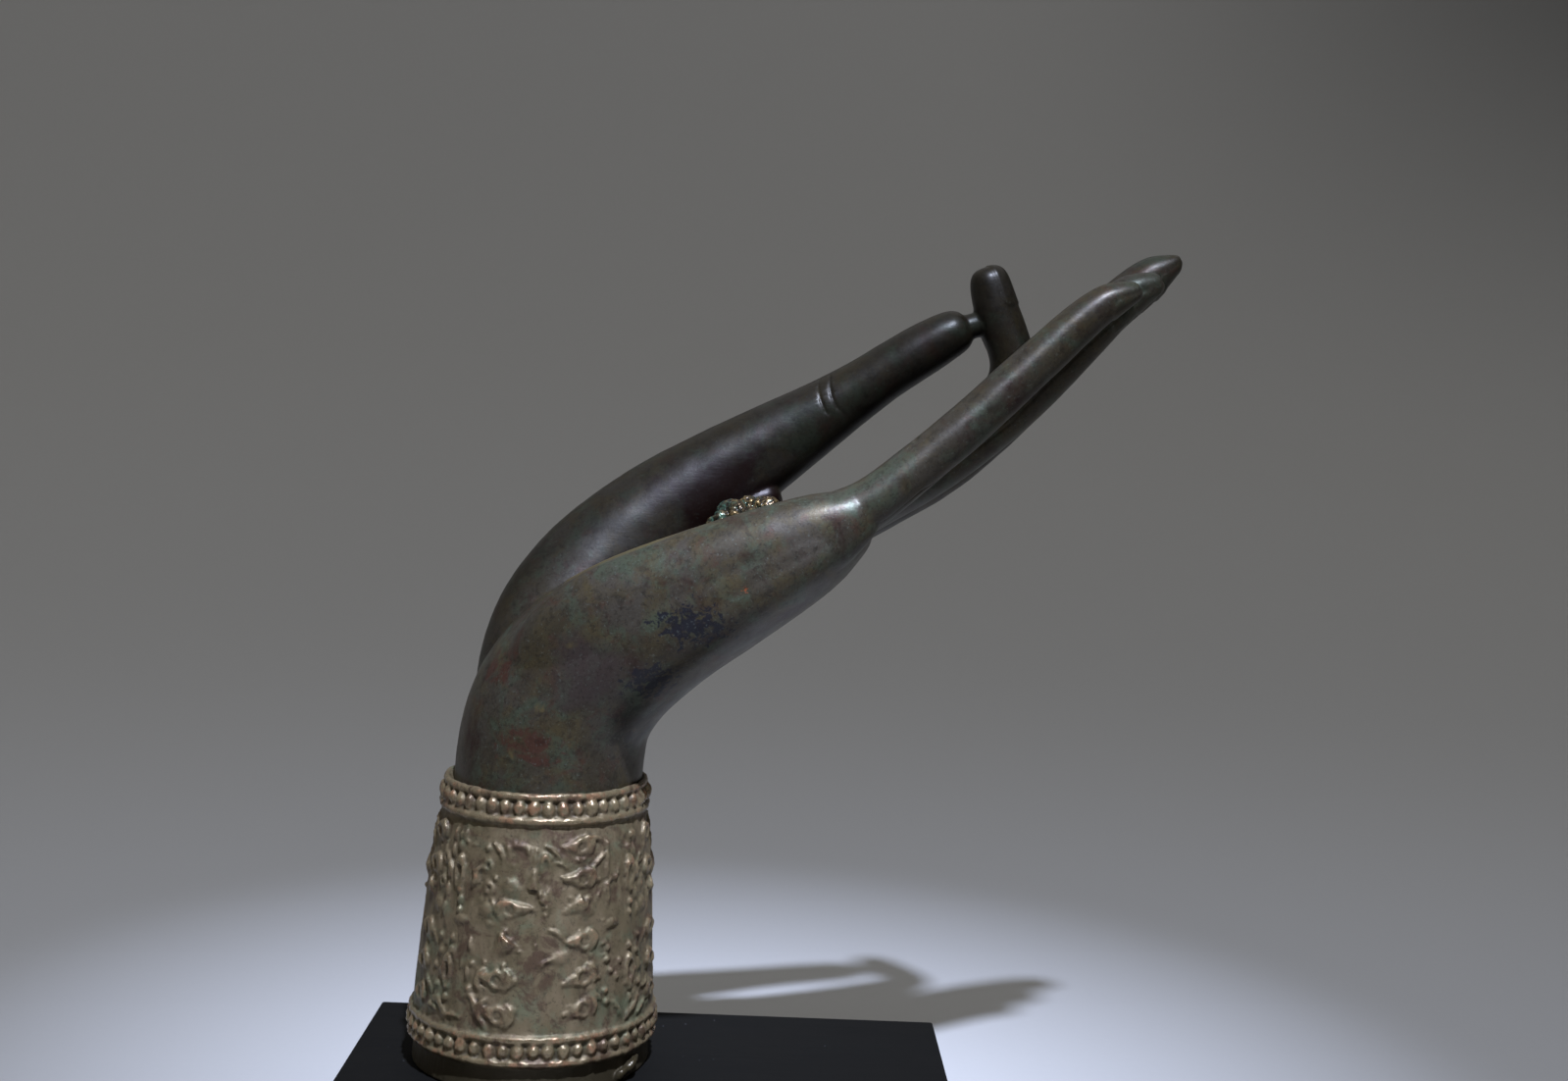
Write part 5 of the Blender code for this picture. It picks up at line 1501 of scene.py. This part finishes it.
class FIGURINE_OT_cuff(bpy.types.Operator):
    """Build the relief cuff and the foot under it"""

    bl_idname = "figurine.cuff"
    bl_label = "Build Cuff"

    def execute(self, context):
        look = context.scene.figurine_cuff
        profile = sleeve_profile()

        def place(row, across, up):
            radius, height = profile[row]
            flat = Vector((radius * across, radius * up * CUFF_DEPTH_RATIO, height))
            return FOOT + flat * MM

        sleeve = lay_rings(tube("sleeve", CUFF_SIDES, len(profile)), place)
        meshes = relief_templates()
        bm = bmesh.new()
        for name, where in relief_layout(random.Random(11)):
            copy = meshes[name].copy()
            copy.transform(Matrix.Translation(FOOT) @ Matrix.Scale(MM, 4) @ where)
            if where.determinant() < 0.0:
                copy.flip_normals()
            bm.from_mesh(copy)
            bpy.data.meshes.remove(copy)
        cuff = joined("relief_cuff", [sleeve, object_of(bm, "relief")])
        points, _ = points_of(cuff)
        points[:, 0] += CUFF_LEAN * points[:, 2]
        set_points(cuff, points)
        apply_modifier(cuff, "REMESH", mode="VOXEL", voxel_size=look.voxel)
        apply_modifier(cuff, "SMOOTH", factor=0.5, iterations=2)
        apply_modifier(cuff, "DECIMATE", ratio=look.share)
        boolean_with(cuff, hollow("hollow_in_cuff"), "DIFFERENCE")
        below = block("below_cuff", (TRIM_SIZE, TRIM_SIZE, 20.0), (0.0, 0.0, -10.0))
        boolean_with(cuff, below, "DIFFERENCE")
        boolean_with(cuff, block("foot_bar", BAR, (0.0, 0.0, BAR_RISE + BAR[2] / 2.0)), "UNION")
        boolean_with(cuff, rod("foot_boss", BOSS_RADIUS, BAR_RISE, BOSS_HEIGHT), "UNION")
        boolean_with(cuff, rod("tapped_hole", TAPPED_RADIUS, -1.0, BOSS_HEIGHT + 1.0), "DIFFERENCE")
        weld_and_check(cuff)
        level = height_of_relief(cuff)
        attribute = cuff.data.attributes.new("relief", "FLOAT", "POINT")
        attribute.data.foreach_set("value", np.clip(level / RELIEF_HEIGHT, 0.0, 1.0).astype(np.float32))
        outside = cuff.vertex_groups.new(name="outside")
        points, _ = points_of(cuff)
        shown = np.flatnonzero((level > -WALL / 3.0) & (points[:, 2] > LEAST_WORN))
        outside.add(shown.tolist(), 1.0, "REPLACE")
        roughen(cuff, "cuff_wear", WEAR_SIZE, WEAR_HEIGHT, outside.name)
        roughen(cuff, "cuff_grit", GRIT_SIZE, GRIT_HEIGHT, outside.name)
        smooth_shaded(cuff)
        if cuff.dimensions.z < (CUFF_TOP - 1.0) * MM:
            raise RuntimeError("the cuff lost its skin")
        hand_on(cuff, relief_bronze(look))
        return {"FINISHED"}


class FIGURINE_OT_plinth(bpy.types.Operator):
    """Give the wooden plinth its lacquer"""

    bl_idname = "figurine.plinth"
    bl_label = "Dress Plinth"

    def execute(self, context):
        dress("wooden_plinth", ebonised_wood(context.scene.figurine_plinth))
        return {"FINISHED"}


class FIGURINE_OT_fixing(bpy.types.Operator):
    """Give the fixing screw and its washer their plating"""

    bl_idname = "figurine.fixing"
    bl_label = "Dress Fixing"

    def execute(self, context):
        plate = zinc_plate(context.scene.figurine_fixing)
        dress("mounting_screw", plate)
        dress("screw_washer", plate)
        return {"FINISHED"}


class FIGURINE_OT_stage(bpy.types.Operator):
    """Set up the backdrop, the lamps and the camera"""

    bl_idname = "figurine.stage"
    bl_label = "Set Stage"

    def execute(self, context):
        look = context.scene.figurine_stage

        def place(row, across, up):
            radius, height = BACKDROP[row]
            return Vector((radius * across, radius * up, height))

        floor = lay_rings(tube("floor", 96, len(BACKDROP)), place)
        bm = bmesh.new()
        bm.from_mesh(floor.data)
        top = [face for face in bm.faces if all(vert.co.z > BACKDROP[-1][1] - MM for vert in face.verts)]
        bmesh.ops.delete(bm, geom=top, context="FACES_ONLY")
        bmesh.ops.reverse_faces(bm, faces=bm.faces)
        bm.to_mesh(floor.data)
        bm.free()
        apply_modifier(floor, "SUBSURF", levels=2, render_levels=2)
        smooth_shaded(floor)
        floor.data.materials.append(paper(look))
        world = bpy.data.worlds.new("room")
        world.use_nodes = True
        world.node_tree.nodes["Background"].inputs["Color"].default_value = (1.0, 1.0, 1.0, 1.0)
        world.node_tree.nodes["Background"].inputs["Strength"].default_value = look.world
        context.scene.world = world
        lamp("key", look.key, KEY_CONE, look.key_colour)
        lamp("spill", look.spill, SPILL_CONE, look.key_colour)
        camera = bpy.data.cameras.new("camera")
        camera.lens = look.lens
        camera.sensor_width = 36.0
        camera.clip_start = 0.01
        camera.clip_end = 20.0
        holder = bpy.data.objects.new("camera", camera)
        context.scene.collection.objects.link(holder)
        turned = Matrix((CAMERA_RIGHT, -CAMERA_DOWN, -CAMERA_FORWARD)).transposed().to_4x4()
        holder.matrix_world = Matrix.Translation(CAMERA_PLACE) @ turned
        context.scene.camera = holder
        context.scene.view_settings.view_transform = "Standard"
        return {"FINISHED"}


def lamp(name, power, spread, colour):
    """A round lamp at the studio lamp's place that shines in a cone of this many degrees at the figurine."""
    light = bpy.data.lights.new(name, "AREA")
    light.shape = "DISK"
    light.size = LAMP_SIZE
    light.spread = math.radians(spread)
    light.energy = power
    light.color = colour
    holder = bpy.data.objects.new(name, light)
    bpy.context.scene.collection.objects.link(holder)
    holder.location = LAMP_PLACE
    holder.rotation_euler = (Vector(POOL_MIDDLE) - Vector(LAMP_PLACE)).to_track_quat("-Z", "Y").to_euler()


def dress(node, material):
    """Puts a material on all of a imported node."""
    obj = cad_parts[node]
    for slot in obj.material_slots:
        slot.material = material


class FIGURINE_PT_panel(bpy.types.Panel):
    """Lists the steps in the 3D view's sidebar"""

    bl_idname = "FIGURINE_PT_panel"
    bl_label = "Hand Figurine"
    bl_space_type = "VIEW_3D"
    bl_region_type = "UI"
    bl_category = "Hand Figurine"

    def draw(self, context):
        for step in STEPS:
            self.layout.operator(step.bl_idname)


STEPS = (
    FIGURINE_OT_hand,
    FIGURINE_OT_ornament,
    FIGURINE_OT_cuff,
    FIGURINE_OT_plinth,
    FIGURINE_OT_fixing,
    FIGURINE_OT_stage,
)
SETTINGS = {
    "figurine_hand": HandSettings,
    "figurine_ornament": OrnamentSettings,
    "figurine_cuff": CuffSettings,
    "figurine_plinth": PlinthSettings,
    "figurine_fixing": FixingSettings,
    "figurine_stage": StageSettings,
}


def register():
    for group in (*SETTINGS.values(), *STEPS, FIGURINE_PT_panel):
        bpy.utils.register_class(group)
    for name, group in SETTINGS.items():
        setattr(bpy.types.Scene, name, bpy.props.PointerProperty(type=group))


def unregister():
    for name in SETTINGS:
        delattr(bpy.types.Scene, name)
    for group in reversed((*SETTINGS.values(), *STEPS, FIGURINE_PT_panel)):
        bpy.utils.unregister_class(group)


def main():
    register()
    bpy.ops.figurine.hand()
    bpy.ops.figurine.ornament()
    bpy.ops.figurine.cuff()
    bpy.ops.figurine.plinth()
    bpy.ops.figurine.fixing()
    bpy.ops.figurine.stage()


if __name__ == "__main__":
    main()
